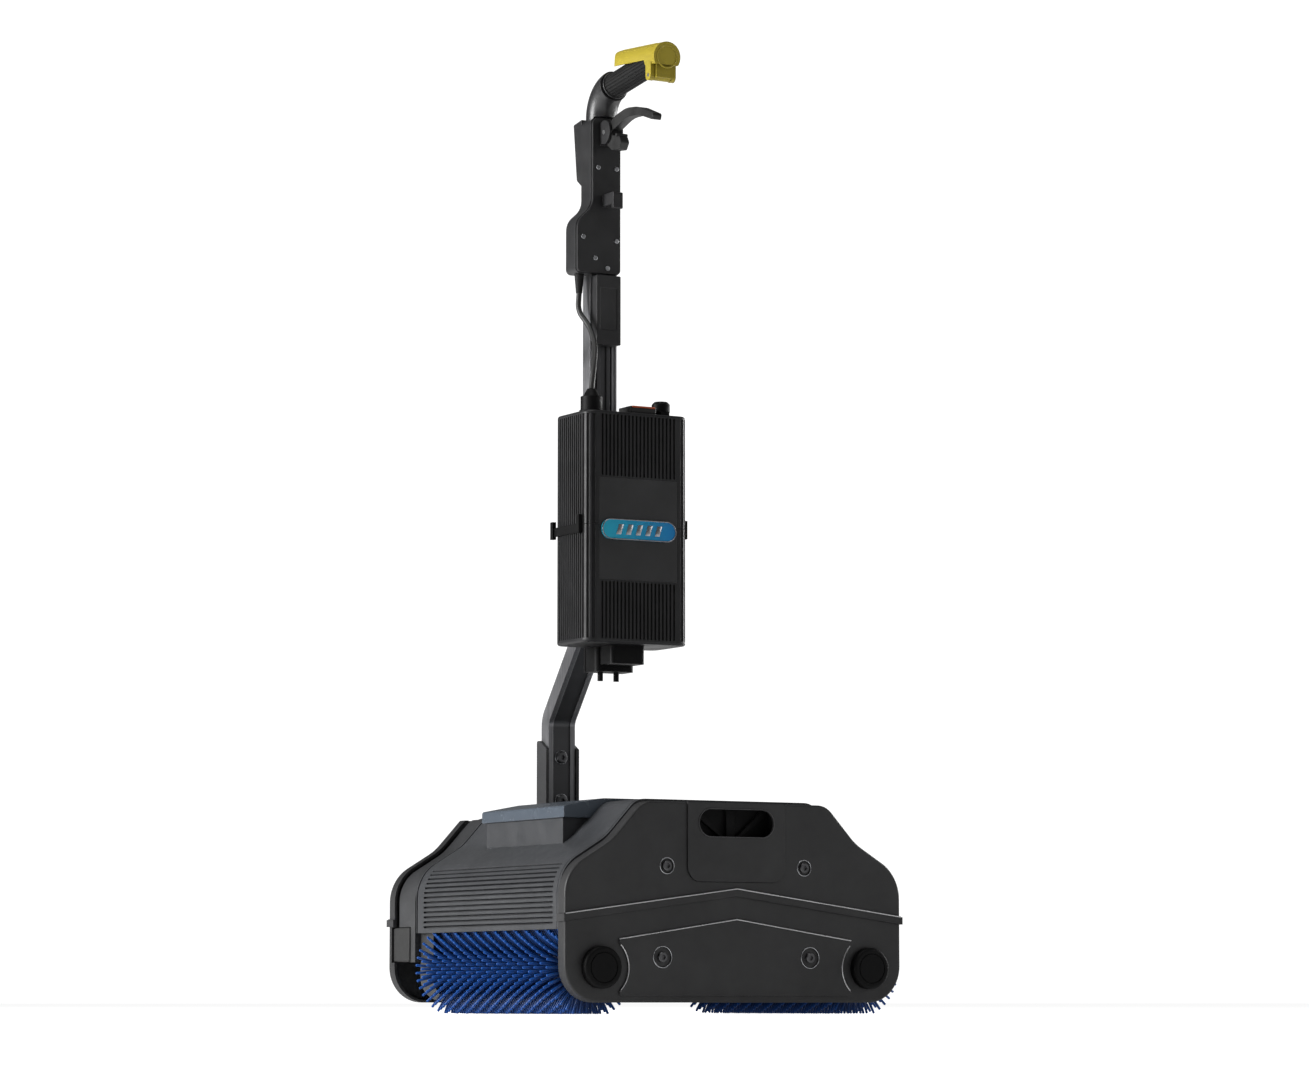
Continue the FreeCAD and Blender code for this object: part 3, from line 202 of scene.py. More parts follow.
def crevice_painted_shade(tree, colour):
    """Painted shade: darkens a colour where nearby walls close the surface in."""
    hollow = tree.nodes.new("ShaderNodeAmbientOcclusion")
    hollow.samples = 4
    hollow.inputs["Distance"].default_value = 0.010
    shade = spread(tree, hollow.outputs["AO"], 0.35, 1.0, 0.20, 0.80)
    return blend(tree, 1.0, colour, shade, "MULTIPLY")


def surface(tree, shader, height, depth, edge):
    """Rounds the edges in the shading and lays a fine height pattern over them."""
    bump = tree.nodes.new("ShaderNodeBump")
    bump.inputs["Strength"].default_value = 1.0
    bump.inputs["Distance"].default_value = depth
    tree.links.new(height, bump.inputs["Height"])
    if edge:
        soft_edge = tree.nodes.new("ShaderNodeBevel")
        soft_edge.samples = 4
        soft_edge.inputs["Radius"].default_value = edge
        tree.links.new(soft_edge.outputs["Normal"], bump.inputs["Normal"])
    tree.links.new(bump.outputs["Normal"], shader.inputs["Normal"])


def moulded(name, colour, rough, grain=0.0009, depth=0.00006, drift=0.25, edge=0.0007, coat=0.0,
            gloss=0.5):
    """Moulded plastic or rubber: grain, colour drift, polished and dull spots, soft edges, and
    painted shade in the hollows.
    """
    material, tree, shader = new_finish(name)
    pale = tuple(c * (1 + drift) + 0.002 for c in colour)
    dark = tuple(c * (1 - drift) for c in colour)
    patches = spread(tree, noise(tree, 14, 4), 0, 1)
    # Painted shade: the base colour is darkened where walls close the surface in.
    tone = crevice_painted_shade(tree, blend(tree, patches, dark, pale))
    tree.links.new(tone, shader.inputs["Base Color"])
    worn = spread(tree, noise(tree, 45, 6), rough - 0.07, rough + 0.07)
    tree.links.new(worn, shader.inputs["Roughness"])
    surface(tree, shader, noise(tree, 1 / grain, 2), depth, edge)
    shader.inputs["Specular IOR Level"].default_value = gloss
    shader.inputs["Coat Weight"].default_value = coat
    shader.inputs["Coat Roughness"].default_value = 0.15
    return material


finishes = {
    "cover_plastic": moulded("cover_charcoal", (0.017, 0.017, 0.018), 0.52),
    "trim_plastic": moulded("trim_satin", (0.019, 0.019, 0.020), 0.58),
    "cap_plastic": moulded("cap_black", (0.002, 0.002, 0.0022), 0.52, gloss=0.13),
    "frame_plastic": moulded("frame_grey", (0.032, 0.033, 0.035), 0.46),
    "lid_plastic": moulded("lid_blue_grey", (0.080, 0.098, 0.122), 0.24, drift=0.05,
                           edge=0.0014, coat=0.35),
    "tank_plastic": moulded("tank_natural", (0.42, 0.44, 0.46), 0.35),
    "bumper_rubber": moulded("bumper_black", (0.010, 0.010, 0.010), 0.66),
    "blade_rubber": moulded("blade_black", (0.030, 0.030, 0.030), 0.60),
    "gear_plastic": moulded("acetal_white", (0.68, 0.67, 0.62), 0.38),
    "belt_rubber": moulded("belt_black", (0.014, 0.014, 0.014), 0.70),
    "core_plastic": moulded("core_navy", (0.008, 0.014, 0.050), 0.50),
    "battery_plastic": moulded("battery_black", (0.011, 0.011, 0.012), 0.44, gloss=0.36),
    "face_plastic": moulded("face_satin", (0.016, 0.016, 0.017), 0.46),
    "cell_block": moulded("cell_wrap", (0.20, 0.21, 0.23), 0.40),
    "flap_plastic": moulded("flap_black", (0.012, 0.012, 0.012), 0.42),
    "button_red": moulded("button_red", (0.55, 0.03, 0.02), 0.28, coat=0.4),
    "head_plastic": moulded("head_black", (0.017, 0.017, 0.018), 0.36, edge=0.0016),
    "grip_rubber": moulded("grip_rubber", (0.007, 0.007, 0.007), 0.60, grain=0.0006, gloss=0.20),
    "lever_plastic": moulded("lever_mustard", (0.36, 0.285, 0.024), 0.42, drift=0.08, gloss=0.4),
    "trigger_plastic": moulded("trigger_black", (0.014, 0.014, 0.014), 0.36),
    "lead_rubber": moulded("lead_black", (0.012, 0.012, 0.012), 0.50, edge=0.0),
}
print("moulded finishes", len(finishes))

# %% [markdown]
# ## Metals
# Screws are blackened steel, the bracket is powder coated, and the motor is painted. A bright
# metal gives the head's silver screws and the badge trim, and paints the highlights round the
# cover and pole screws. Stretching the noise along one axis turns plain grain into brushed lines.


# %% Metal finishes
def metal(name, colour, rough, stretch, shine=1.0, depth=0.00002, edge=0.0005):
    """Drawn or turned metal: streaks along one way, with roughness that varies in broad patches.
    """
    material, tree, shader = new_finish(name)
    shader.inputs["Metallic"].default_value = shine
    streaks = noise(tree, 900, 3, stretch)
    tone = spread(tree, streaks, 0, 1)
    dark = tuple(c * 0.8 for c in colour)
    pale = tuple(min(c * 1.2, 1) for c in colour)
    tree.links.new(blend(tree, tone, dark, pale), shader.inputs["Base Color"])
    tree.links.new(spread(tree, noise(tree, 30, 5), rough - 0.06, rough + 0.08),
                   shader.inputs["Roughness"])
    surface(tree, shader, streaks, depth, edge)
    return material


finishes["black_metal"] = metal("bracket_powder", (0.040, 0.040, 0.042), 0.42, (1, 1, 1), 0.3)
finishes["bolt_steel"] = metal("bolt_blackened", (0.13, 0.13, 0.135), 0.33, (0.2, 1, 1))
finishes["bare_steel"] = metal("turned_steel", (0.55, 0.55, 0.56), 0.28, (1, 1, 1))
finishes["motor_metal"] = metal("motor_paint", (0.035, 0.035, 0.040), 0.45, (0.1, 1, 1), 0.4)
# Bright metal: the own colour of the head screws and badge trim, and a painted highlight on the
# screw rings.
finishes["ring_bright"] = metal("ring_bright", (0.50, 0.51, 0.53), 0.25, (1, 1, 1))
print("metal finishes", 5)

# %% [markdown]
# ## The hood and the pole
# The hoods are the same plastic as the covers, made lighter as painted light: the lighter tone
# stands for the key light that falls on their front. The pole is an extrusion with a channel down
# each broad face: its rails and sides stay pale, and painted shade darkens the channel as the
# shade in that recess, so a mask on the Y coordinate divides the two.


# %% Hood and pole finishes
CHANNEL_HALF = 0.0111


def band_mask(tree, axis, low, high):
    """1 where an Object coordinate lies between low and high."""
    place = tree.nodes.new("ShaderNodeTexCoord")
    parts = tree.nodes.new("ShaderNodeSeparateXYZ")
    tree.links.new(place.outputs["Object"], parts.inputs["Vector"])
    over = tree.nodes.new("ShaderNodeMath")
    over.operation = "GREATER_THAN"
    over.inputs[1].default_value = low
    under = tree.nodes.new("ShaderNodeMath")
    under.operation = "LESS_THAN"
    under.inputs[1].default_value = high
    both = tree.nodes.new("ShaderNodeMath")
    both.operation = "MULTIPLY"
    for node in (over, under):
        tree.links.new(parts.outputs[axis], node.inputs[0])
    tree.links.new(over.outputs[0], both.inputs[0])
    tree.links.new(under.outputs[0], both.inputs[1])
    return both.outputs[0]


def pole_finish():
    """Drawn black aluminium: pale rails and sides, and painted shade that darkens the channel
    between the rails.
    """
    material, tree, shader = new_finish("pole_anodised")
    shader.inputs["Metallic"].default_value = 0.9
    streaks = noise(tree, 900, 3, (1, 1, 0.03))
    rails = blend(tree, spread(tree, streaks, 0, 1), (0.20, 0.20, 0.21), (0.30, 0.30, 0.31))
    channel = band_mask(tree, "Y", -CHANNEL_HALF, CHANNEL_HALF)
    # Painted shade: the channel between the rails gets a dark colour for the shade in the recess.
    tone = blend(tree, channel, rails, (0.085, 0.086, 0.090))
    # Painted shade in the hollows darkens the pole's colour as well.
    tree.links.new(crevice_painted_shade(tree, tone), shader.inputs["Base Color"])
    tree.links.new(spread(tree, noise(tree, 30, 5), 0.30, 0.44), shader.inputs["Roughness"])
    surface(tree, shader, streaks, 0.00002, 0.0009)
    return material


# Painted light: the hood is a lighter copy of the cover plastic, standing for the key light on its
# front.
finishes["hood_plastic"] = moulded("hood_satin_painted_light", (0.046, 0.048, 0.052), 0.36, drift=0.08,
                                   edge=0.0010)
finishes["pole_aluminium"] = pole_finish()
print("finishes so far", len(finishes))

# %% [markdown]
# ## Badge and bristle finishes
# The badge is a glossy pill that runs from teal on the left to deep blue on the right. The
# bristles are translucent blue nylon, paler at the ground tips and darkened towards the root by
# painted shade inside the brush, so their colour follows the distance from the brush's own axis.


# %% Badge finish
def badge_finish():
    """Gloss enamel that runs from teal to blue across the badge."""
    material, tree, shader = new_finish("badge_enamel")
    low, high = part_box("battery_badge")
    place = tree.nodes.new("ShaderNodeTexCoord")
    parts = tree.nodes.new("ShaderNodeSeparateXYZ")
    tree.links.new(place.outputs["Object"], parts.inputs["Vector"])
    run = tree.nodes.new("ShaderNodeMapRange")
    run.inputs["From Min"].default_value = low[1]
    run.inputs["From Max"].default_value = high[1]
    tree.links.new(parts.outputs["Y"], run.inputs["Value"])
    ramp = tree.nodes.new("ShaderNodeValToRGB")
    ramp.color_ramp.elements[0].color = (0.020, 0.38, 0.54, 1)
    ramp.color_ramp.elements[1].color = (0.012, 0.20, 0.50, 1)
    tree.links.new(run.outputs["Result"], ramp.inputs["Fac"])
    tree.links.new(ramp.outputs["Color"], shader.inputs["Base Color"])
    tree.links.new(spread(tree, noise(tree, 60, 4), 0.16, 0.28), shader.inputs["Roughness"])
    surface(tree, shader, noise(tree, 500, 2), 0.00001, 0.0006)
    shader.inputs["Coat Weight"].default_value = 0.6
    return material


def bristle_finish(name, axis_y, axis_z, root_r, tip_r):
    """Nylon: paler at the tip, darkened towards the root by painted shade, measured from the
    brush's axis.
    """
    material, tree, shader = new_finish(name)
    place = tree.nodes.new("ShaderNodeTexCoord")
    offset = tree.nodes.new("ShaderNodeVectorMath")
    offset.operation = "SUBTRACT"
    offset.inputs[1].default_value = (0, axis_y, axis_z)
    flat = tree.nodes.new("ShaderNodeVectorMath")
    flat.operation = "MULTIPLY"
    flat.inputs[1].default_value = (0, 1, 1)
    reach = tree.nodes.new("ShaderNodeVectorMath")
    reach.operation = "LENGTH"
    tree.links.new(place.outputs["Object"], offset.inputs[0])
    tree.links.new(offset.outputs[0], flat.inputs[0])
    tree.links.new(flat.outputs[0], reach.inputs[0])
    along = spread(tree, reach.outputs["Value"], 0, 1, root_r, tip_r)
    ramp = tree.nodes.new("ShaderNodeValToRGB")
    # Painted shade: the dark root colour stands for the shade deep inside the brush.
    ramp.color_ramp.elements[0].color = (0.002, 0.010, 0.055, 1)
    ramp.color_ramp.elements[1].color = (0.002, 0.070, 0.32, 1)
    ramp.color_ramp.elements.new(0.7).color = (0.001, 0.032, 0.145, 1)
    tree.links.new(along, ramp.inputs["Fac"])
    tree.links.new(ramp.outputs["Color"], shader.inputs["Base Color"])
    tree.links.new(spread(tree, noise(tree, 120, 4), 0.30, 0.48), shader.inputs["Roughness"])
    surface(tree, shader, noise(tree, 1500, 2), 0.00002, 0.0)
    shader.inputs["Specular IOR Level"].default_value = 0.3
    return material


finishes["badge_gloss"] = badge_finish()
print("badge and bristle recipes ready")

# %% [markdown]
# ## Paint the solids
# Each solid knows its material slot from the record, so one loop gives every piece the finish
# with that slot's name. The pieces that are modelled by hand below hide their plain solids.

# %% Give each solid its finish
PLAIN = "bristle_nylon"
slots = {row["node"]: row["material_slot"] for row in frame["record"]["subparts"]}
for node_name, obj in nodes.items():
    if slots[node_name] == PLAIN:
        continue
    obj.data.materials.clear()
    obj.data.materials.append(finishes[slots[node_name]])
nodes["head_screws"].data.materials[0] = finishes["ring_bright"]
print("painted solids", len(nodes))

# %% [markdown]
# ## Workshop helpers
# Every hand-made piece starts from a primitive, is shaped in edit mode and is then settled: its
# place goes into its mesh, it gets its finish, and it is told which body carries it.


# %% Helpers for hand-made pieces
def start():
    """Leaves edit mode and selects nothing."""
    if bpy.context.mode != "OBJECT":
        bpy.ops.object.mode_set(mode="OBJECT")
    bpy.ops.object.select_all(action="DESELECT")


def pick_faces(obj, test):
    """Selects the faces whose centre and normal pass a test, then opens edit mode."""
    bpy.ops.object.mode_set(mode="OBJECT")
    for face in obj.data.polygons:
        face.select = test(face.center, face.normal)
    for edge in obj.data.edges:
        edge.select = False
    for vertex in obj.data.vertices:
        vertex.select = False
    for face in obj.data.polygons:
        if face.select:
            for index in face.vertices:
                obj.data.vertices[index].select = True
    bpy.ops.object.mode_set(mode="EDIT")
    bpy.ops.mesh.select_mode(type="FACE")


def settle(obj, name, body, finish, smooth=35):
    """Moves the place into the mesh, smooths it, paints it and puts it on its body."""
    if bpy.context.mode != "OBJECT":
        bpy.ops.object.mode_set(mode="OBJECT")
    bpy.ops.object.select_all(action="DESELECT")
    obj.select_set(True)
    bpy.context.view_layer.objects.active = obj
    bpy.ops.object.transform_apply(location=True, rotation=True, scale=True)
    if smooth:
        bpy.ops.object.shade_smooth_by_angle(angle=math.radians(smooth))
    obj.name = name
    obj.data.name = name
    obj.data.materials.clear()
    obj.data.materials.append(finish)
    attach(obj, body)
    print(name, "faces", len(obj.data.polygons))
    return obj


def gather(pieces):
    """Joins separate objects into the first one."""
    start()
    for piece in pieces:
        piece.select_set(True)
    bpy.context.view_layer.objects.active = pieces[0]
    bpy.ops.object.join()
    return pieces[0]


# %% [markdown]
# ## Bristles
# A cylindrical scrubbing brush holds thick nylon monofilaments in offset rows, so that no gap
# runs straight across the floor. One filament is modelled as a seven-sided rod with a rounded
# tip. Copies of it go round and along the core, each row shifted by half a step, with the outer
# rows leaning outwards. The filaments that stand on the floor are cut to meet it, because the
# machine's weight bends them there.


# %% One filament
def filament(root, tip, radius):
    """A seven-sided rod from root to tip along +Z, closed by a small rounded end."""
    start()
    bpy.ops.mesh.primitive_cylinder_add(vertices=7, radius=radius, depth=tip - root,
                                        location=(0, 0, (root + tip) / 2))
    rod = bpy.context.object
    bpy.ops.object.transform_apply(location=True)
    pick_faces(rod, lambda centre, normal: normal.z > 0.9)
    bpy.ops.mesh.inset(thickness=radius * 0.45)
    bpy.ops.transform.translate(value=(0, 0, radius * 0.4))
    bpy.ops.object.mode_set(mode="OBJECT")
    return rod


# %% Copies round the core
SPLAY = 0.0038  # how far the tips stand past the plain ring
FLOOR_GAP = 0.0002


def brush(name, body, axis_y, node, finish):
    """Fills a brush's envelope with filaments and hides the plain ring."""
    low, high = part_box(node)
    axis_z = (low[2] + high[2]) / 2
    solid_r = (high[2] - low[2]) / 2
    root, tip = 0.0215, solid_r + SPLAY
    around, along, radius = 38, 26, 0.00145
    rod = filament(root, tip, radius)
    points = [Vector(v.co) for v in rod.data.vertices]
    faces = [tuple(p.vertices) for p in rod.data.polygons]
    bpy.data.objects.remove(rod)
    verts, polys = [], []
    span = high[0] - low[0] - 2 * radius
    limit = axis_z - FLOOR_GAP - 0.4 * radius
    for row in range(along):
        share = row / (along - 1)
        x = low[0] + radius + span * share
        lean = 0.10 * (2 * share - 1) ** 5
        for step in range(around):
            angle = 2 * math.pi * (step + 0.5 * (row % 2)) / around
            out = Vector((0, math.sin(angle), math.cos(angle)))
            reach = tip
            if out.z < 0:
                reach = min(tip, limit / -out.z)
            turn = Vector((0, 0, 1)).rotation_difference((out + Vector((lean, 0, 0))).normalized())
            base = len(verts)
            for p in points:
                q = Vector(p)
                if q.z > (root + tip) / 2:
                    q.z -= tip - reach
                q.rotate(turn)
                verts.append((x + q.x, axis_y + q.y, axis_z + q.z))
            polys.extend([tuple(base + i for i in face) for face in faces])
    mesh = bpy.data.meshes.new(name)
    mesh.from_pydata(verts, [], polys)
    mesh.update()
    obj = bpy.data.objects.new(name, mesh)
    bpy.context.collection.objects.link(obj)
    settle(obj, name, body, finish, 50)
    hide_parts(node)


front_y = sum(corner[1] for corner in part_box("front_brush_bristles")) / 2
rear_y = sum(corner[1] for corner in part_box("rear_brush_bristles")) / 2
brush_z = sum(corner[2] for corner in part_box("front_brush_bristles")) / 2
front_nylon = bristle_finish("front_nylon", front_y, brush_z, 0.022, 0.053)
rear_nylon = bristle_finish("rear_nylon", rear_y, brush_z, 0.022, 0.053)
brush("front_filaments", "front_brush", front_y, "front_brush_bristles", front_nylon)
brush("rear_filaments", "rear_brush", rear_y, "rear_brush_bristles", rear_nylon)

# %% [markdown]
# ## Grip
# The hand grip is a rubber sleeve with grooves along its length, so a wet glove doesn't slip. A
# many-sided cylinder is the start: every third strip of its wall is inset and pushed inwards to
# make a groove. A slim ring at the end next to the head is the collar that the sleeve butts on.

# %% Grooved grip sleeve
GRIP_TILT = math.radians(6.5)
GRIP_R = 0.0145
GRIP_LENGTH = 0.108
GRIP_SIDES = 72
GROOVE_MARGIN = 0.00026
GROOVE_DEPTH = 0.0007
COLLAR_OFFSET = 0.051
grip_low, grip_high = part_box("grip")
grip_centre = Vector([(a + b) / 2 for a, b in zip(grip_low, grip_high)])
start()
bpy.ops.mesh.primitive_cylinder_add(vertices=GRIP_SIDES, radius=GRIP_R, depth=GRIP_LENGTH)
grip = bpy.context.object
strip_angle = 2 * math.pi / GRIP_SIDES


def is_groove(centre, normal):
    """Every third strip of the wall."""
    if abs(normal.z) > 0.5:
        return False
    return int(round(math.atan2(normal.y, normal.x) / strip_angle - 0.5)) % 3 == 0


pick_faces(grip, is_groove)
bpy.ops.mesh.inset(thickness=GROOVE_MARGIN, depth=-GROOVE_DEPTH, use_boundary=True)
bpy.ops.object.mode_set(mode="OBJECT")
grip.rotation_euler = (0, math.pi / 2 - GRIP_TILT, 0)
grip.location = grip_centre
settle(grip, "grip_sleeve", "handle", finishes["grip_rubber"])
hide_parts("grip")

start()
grip_way = Vector((math.cos(GRIP_TILT), 0, math.sin(GRIP_TILT)))
collar_place = grip_centre - grip_way * COLLAR_OFFSET
bpy.ops.mesh.primitive_torus_add(major_radius=0.0150, minor_radius=0.0011, major_segments=48,
                                 minor_segments=10, location=collar_place,
                                 rotation=(0, math.pi / 2 - GRIP_TILT, 0))
settle(bpy.context.object, "grip_collar", "handle", finishes["head_plastic"], 60)

# %% [markdown]
# ## Flutes on the lever
# The yellow lever that lies over the grip is stiffened by long flutes that the palm can feel.
# Each of the five is a slim rod with flat ends, half sunk in the lever's crown. They share the
# lever's tilt, and they ride with it. A shallow ring marks the round cap at its end.

# %% Lever flutes and end ring
LEVER_TILT = math.radians(5.5)
LEVER_R = 0.0173
lever_end = Vector((0.062, 0, 1.080))
lever_way = Vector((-math.cos(LEVER_TILT), 0, math.sin(LEVER_TILT)))
lever_up = Vector((math.sin(LEVER_TILT), 0, math.cos(LEVER_TILT)))
FLUTE_R = 0.0006
FLUTE_LENGTH = 0.080
FLUTE_START = 0.012
FLUTE_STEP = 24
flutes = []
for index in range(5):
    angle = math.radians(FLUTE_STEP * (index - 2))
    out = Vector((0, math.sin(angle), 0)) + lever_up * math.cos(angle)
    centre = lever_end + lever_way * (FLUTE_START + FLUTE_LENGTH / 2) + out * (LEVER_R - 0.0001)
    start()
    bpy.ops.mesh.primitive_cylinder_add(vertices=10, radius=FLUTE_R, depth=FLUTE_LENGTH,
                                        location=centre,
                                        rotation=lever_way.to_track_quat("Z", "Y").to_euler())
    flute = bpy.context.object
    pick_faces(flute, lambda centre, normal: abs(normal.z) > 0.9)
    bpy.ops.mesh.inset(thickness=0.00025)
    bpy.ops.object.mode_set(mode="OBJECT")
    flutes.append(flute)
settle(gather(flutes), "lever_flutes", "grip_lever", finishes["lever_plastic"],
       60)
start()
bpy.ops.mesh.primitive_torus_add(major_radius=0.0125, minor_radius=0.0009, major_segments=48,
                                 minor_segments=8, location=lever_end,
                                 rotation=lever_way.to_track_quat("Z", "Y").to_euler())
settle(bpy.context.object, "lever_cap_ring", "grip_lever", finishes["lever_plastic"],
       60)

# %% [markdown]
# ## Badge rim and charge bars
# The badge on the battery is a pill in a thin bright rim. Its maker's word is left out: a row of
# slanted bars, as on any charge gauge, stands in its place. The rim starts as a flat rectangle
# whose corners are bevelled round, is inset to a band, and the band is then raised.

# %% Badge rim
badge_low, badge_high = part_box("battery_badge")
badge_w = badge_high[1] - badge_low[1]
badge_h = badge_high[2] - badge_low[2]
badge_centre = Vector((badge_high[0], (badge_low[1] + badge_high[1]) / 2,
                       (badge_low[2] + badge_high[2]) / 2))


def pill_rim(width, height, thickness, proud, centre):
    """A raised band round a pill that stands on a face looking along +X."""
    start()
    bpy.ops.mesh.primitive_plane_add(size=1)
    band = bpy.context.object
    band.scale = (height, width, 1)
    bpy.ops.object.transform_apply(scale=True)
    bpy.ops.object.mode_set(mode="EDIT")
    bpy.ops.mesh.select_all(action="SELECT")
    bpy.ops.mesh.bevel(offset=height / 2 - 0.0001, segments=14, affect="VERTICES")
    bpy.ops.mesh.inset(thickness=thickness)
    bpy.ops.mesh.delete(type="FACE")
    bpy.ops.mesh.select_all(action="SELECT")
    bpy.ops.mesh.extrude_region_move(TRANSFORM_OT_translate={"value": (0, 0, proud)})
    bpy.ops.mesh.select_all(action="SELECT")
    bpy.ops.mesh.normals_make_consistent(inside=False)
    bpy.ops.object.mode_set(mode="OBJECT")
    band.rotation_euler = (0, math.pi / 2, 0)
    band.location = centre
    return band


rim = pill_rim(badge_w, badge_h, thickness=0.0011, proud=0.0009, centre=badge_centre)
settle(rim, "badge_rim", "handle", finishes["ring_bright"])

# %% Charge bars
BAR_STEP = 0.0125
BAR_SIZE = (0.0008, 0.0062, 0.0118)
BAR_SLANT = 0.30
bars = []
for index in range(5):
    start()
    y = badge_centre.y + (index - 2) * BAR_STEP
    bpy.ops.mesh.primitive_cube_add(size=1, location=(badge_centre.x + 0.0001, y, badge_centre.z))
    bar = bpy.context.object
    bar.scale = BAR_SIZE
    bpy.ops.object.transform_apply(scale=True)
    for vertex in bar.data.vertices:
        vertex.co.y += (vertex.co.z - badge_centre.z) * BAR_SLANT
    bpy.ops.object.mode_set(mode="EDIT")
    bpy.ops.mesh.select_all(action="SELECT")
    bpy.ops.mesh.bevel(offset=0.0002, segments=2)
    bpy.ops.object.mode_set(mode="OBJECT")
    bars.append(bar)
settle(gather(bars), "badge_bars", "handle", finishes["ring_bright"])

# %% [markdown]
# ## Painted highlights round the screws
# Each screw of the side covers sits in a turned recess, and a thin ring of bright metal on its rim
# paints the highlight that the rim catches. The rings are plain tori, laid at the places of the
# screws, which the group of screws gives by its box. The two screws in the pole have slimmer rings
# of the same kind.

# %% Screw rings, a painted highlight
bolt_low, bolt_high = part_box("cover_bolts")
BOLT_R = 0.0054
UPPER_BOLT_Y = 0.086
LOWER_RING_R = 0.0113
UPPER_RING_R = 0.0086
RINGS = [(bolt_low[2] + BOLT_R, bolt_high[1] - BOLT_R, LOWER_RING_R),
         (bolt_high[2] - BOLT_R, UPPER_BOLT_Y, UPPER_RING_R)]
near_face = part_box("near_upper_cover")[1][0]
far_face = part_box("far_upper_cover")[0][0]
rings = []
for z, y, radius in RINGS:
    for side in (-1, 1):
        for face_x, way in ((near_face, 1), (far_face, -1)):
            start()
            proud = 0.0015 if radius > 0.01 else 0
            bpy.ops.mesh.primitive_torus_add(major_radius=radius, minor_radius=0.00045,
                                             major_segments=40, minor_segments=8,
                                             location=(face_x + way * proud, side * y, z),
                                             rotation=(0, math.pi / 2, 0))
            rings.append(bpy.context.object)
# Painted highlight: bright rings stand for the light caught by the recess rims.
settle(gather(rings), "screw_rim_highlights", "chassis", finishes["ring_bright"], 60)

# %% Rings round the pole's two screws, a painted highlight
POLE_BOLT_R = 0.0075
pole_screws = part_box("pole_bolts")
pole_rings = []
for z in (pole_screws[0][2] + POLE_BOLT_R, pole_screws[1][2] - POLE_BOLT_R):
    start()
    bpy.ops.mesh.primitive_torus_add(major_radius=0.0078, minor_radius=0.0007, major_segments=40,
                                     minor_segments=8, rotation=(0, math.pi / 2, 0),
                                     location=(pole_screws[1][0] - 0.0036, 0, z))
    pole_rings.append(bpy.context.object)
# Painted highlight: bright rings stand for the light caught by the pole screws' rims.
settle(gather(pole_rings), "pole_screw_rim_highlights", "handle", finishes["ring_bright"], 60)

# %% [markdown]
# ## Painted highlights along the covers
# The raised panel and the seam trim carry along their edges a fine rounded bead of pale metal, a
# painted highlight that stands for the light those edges catch. The straight runs are slim rods.
# The two hollow bites at the panel's sides are parts of a ring, whose other half is cut away in
# edit mode.
# The same beads lie on both sides of the machine.

# %% Cover beads, a painted edge highlight
# Painted highlight: bright metal beads stand for the light that the panel and trim edges catch.
edge_highlight_finish = metal("painted_edge_highlight", (0.62, 0.62, 0.63), 0.30, (1, 1, 1))
BEAD_R = 0.0007
PANEL_HALF = 0.145
BITE_R = 0.034
TRIM_HALF = 0.2100
TRIM_END_Z, TRIM_CREST_Z = 0.1061, 0.1344
PANEL_END_Z, PANEL_CREST_Z = 0.0796, 0.1014
trim_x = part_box("seam_trims")[1][0]
panel_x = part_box("near_lower_cover")[1][0]
beads = []


def rod(first, second):
    """A slim rod between two points."""
    start()
    run = Vector(second) - Vector(first)
    bpy.ops.mesh.primitive_cylinder_add(vertices=10, radius=BEAD_R, depth=run.length,
                                        location=(Vector(first) + Vector(second)) / 2,
                                        rotation=run.to_track_quat("Z", "Y").to_euler())
    beads.append(bpy.context.object)


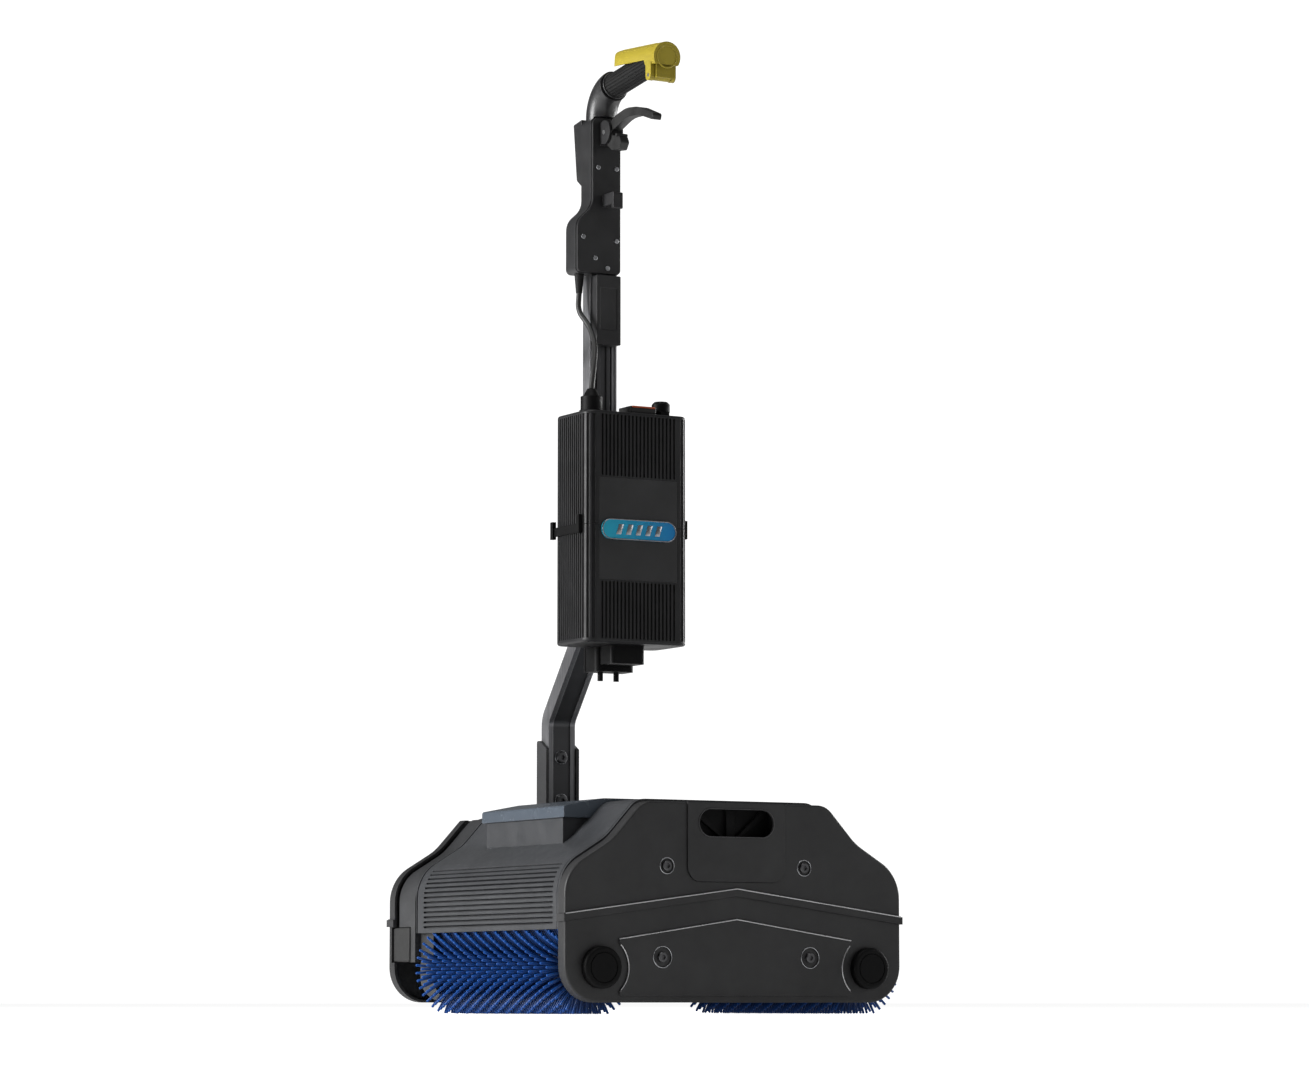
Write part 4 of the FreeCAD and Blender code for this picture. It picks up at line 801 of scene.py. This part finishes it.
for way in (-1, 1):
    for side in (-1, 1):
        rod((way * trim_x, side * TRIM_HALF, TRIM_END_Z), (way * trim_x, 0, TRIM_CREST_Z))
        rod((way * panel_x, side * PANEL_HALF, PANEL_END_Z), (way * panel_x, 0, PANEL_CREST_Z))
        start()
        bpy.ops.mesh.primitive_torus_add(major_radius=BITE_R, minor_radius=BEAD_R,
                                         major_segments=96, minor_segments=8,
                                         location=(way * panel_x, side * abs(front_y), brush_z),
                                         rotation=(0, math.pi / 2, 0))
        arc = bpy.context.object
        bpy.ops.object.transform_apply(location=True, rotation=True)
        bpy.ops.object.mode_set(mode="EDIT")
        bpy.ops.mesh.select_all(action="DESELECT")
        bpy.ops.mesh.select_mode(type="VERT")
        bpy.ops.object.mode_set(mode="OBJECT")
        for vertex in arc.data.vertices:
            vertex.select = abs(vertex.co.y) > PANEL_HALF
        bpy.ops.object.mode_set(mode="EDIT")
        bpy.ops.mesh.delete(type="VERT")
        bpy.ops.mesh.select_all(action="SELECT")
        bpy.ops.mesh.region_to_loop()
        bpy.ops.mesh.edge_face_add()
        bpy.ops.object.mode_set(mode="OBJECT")
        beads.append(arc)
settle(gather(beads), "cover_edge_highlights", "chassis", edge_highlight_finish, 50)

# %% [markdown]
# ## Rim of the carry slot
# The hand slot in the near cover has a thin moulded lip. It is a pill, as the badge is, so the
# badge rim's helper makes it too, only lower, in dark plastic paler than the cover: a painted
# highlight along the slot's edge.

# %% Rim of the carry slot
SLOT_LENGTH = 0.0950
SLOT_HEIGHT = 0.0312
SLOT_Z = 0.2051
plate_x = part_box("carry_plate")[1][0]
# Painted highlight: the lip is paler than the cover to stand for the light on the slot's edge.
slot_highlight_finish = moulded("slot_edge_painted_highlight", (0.055, 0.055, 0.057), 0.34)
slot_rim = pill_rim(SLOT_LENGTH, SLOT_HEIGHT, thickness=0.0009, proud=0.0006,
                    centre=Vector((plate_x, 0, SLOT_Z)))
settle(slot_rim, "slot_rim", "chassis", slot_highlight_finish)

# %% [markdown]
# ## Orange edge on the charge flap
# The lid over the charging socket carries an orange-red edge, so it is found in a dim cupboard.
# It is a slim bar with bevelled edges on the front of the flap, and it swings with the flap.

# %% Flap edge
flap_low, flap_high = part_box("charge_flap")
flap_edge_finish = moulded("flap_orange", (0.60, 0.10, 0.02), 0.35, drift=0.1)
start()
bpy.ops.mesh.primitive_cube_add(size=1, location=(flap_high[0] - 0.0004,
                                                  (flap_low[1] + flap_high[1]) / 2,
                                                  flap_high[2] - 0.0008))
edge = bpy.context.object
edge.scale = (0.0020, flap_high[1] - flap_low[1] - 0.004, 0.0022)
bpy.ops.object.transform_apply(scale=True)
bpy.ops.object.mode_set(mode="EDIT")
bpy.ops.mesh.select_all(action="SELECT")
bpy.ops.mesh.bevel(offset=0.0005, segments=3)
bpy.ops.object.mode_set(mode="OBJECT")
settle(edge, "flap_edge", "flap", flap_edge_finish)
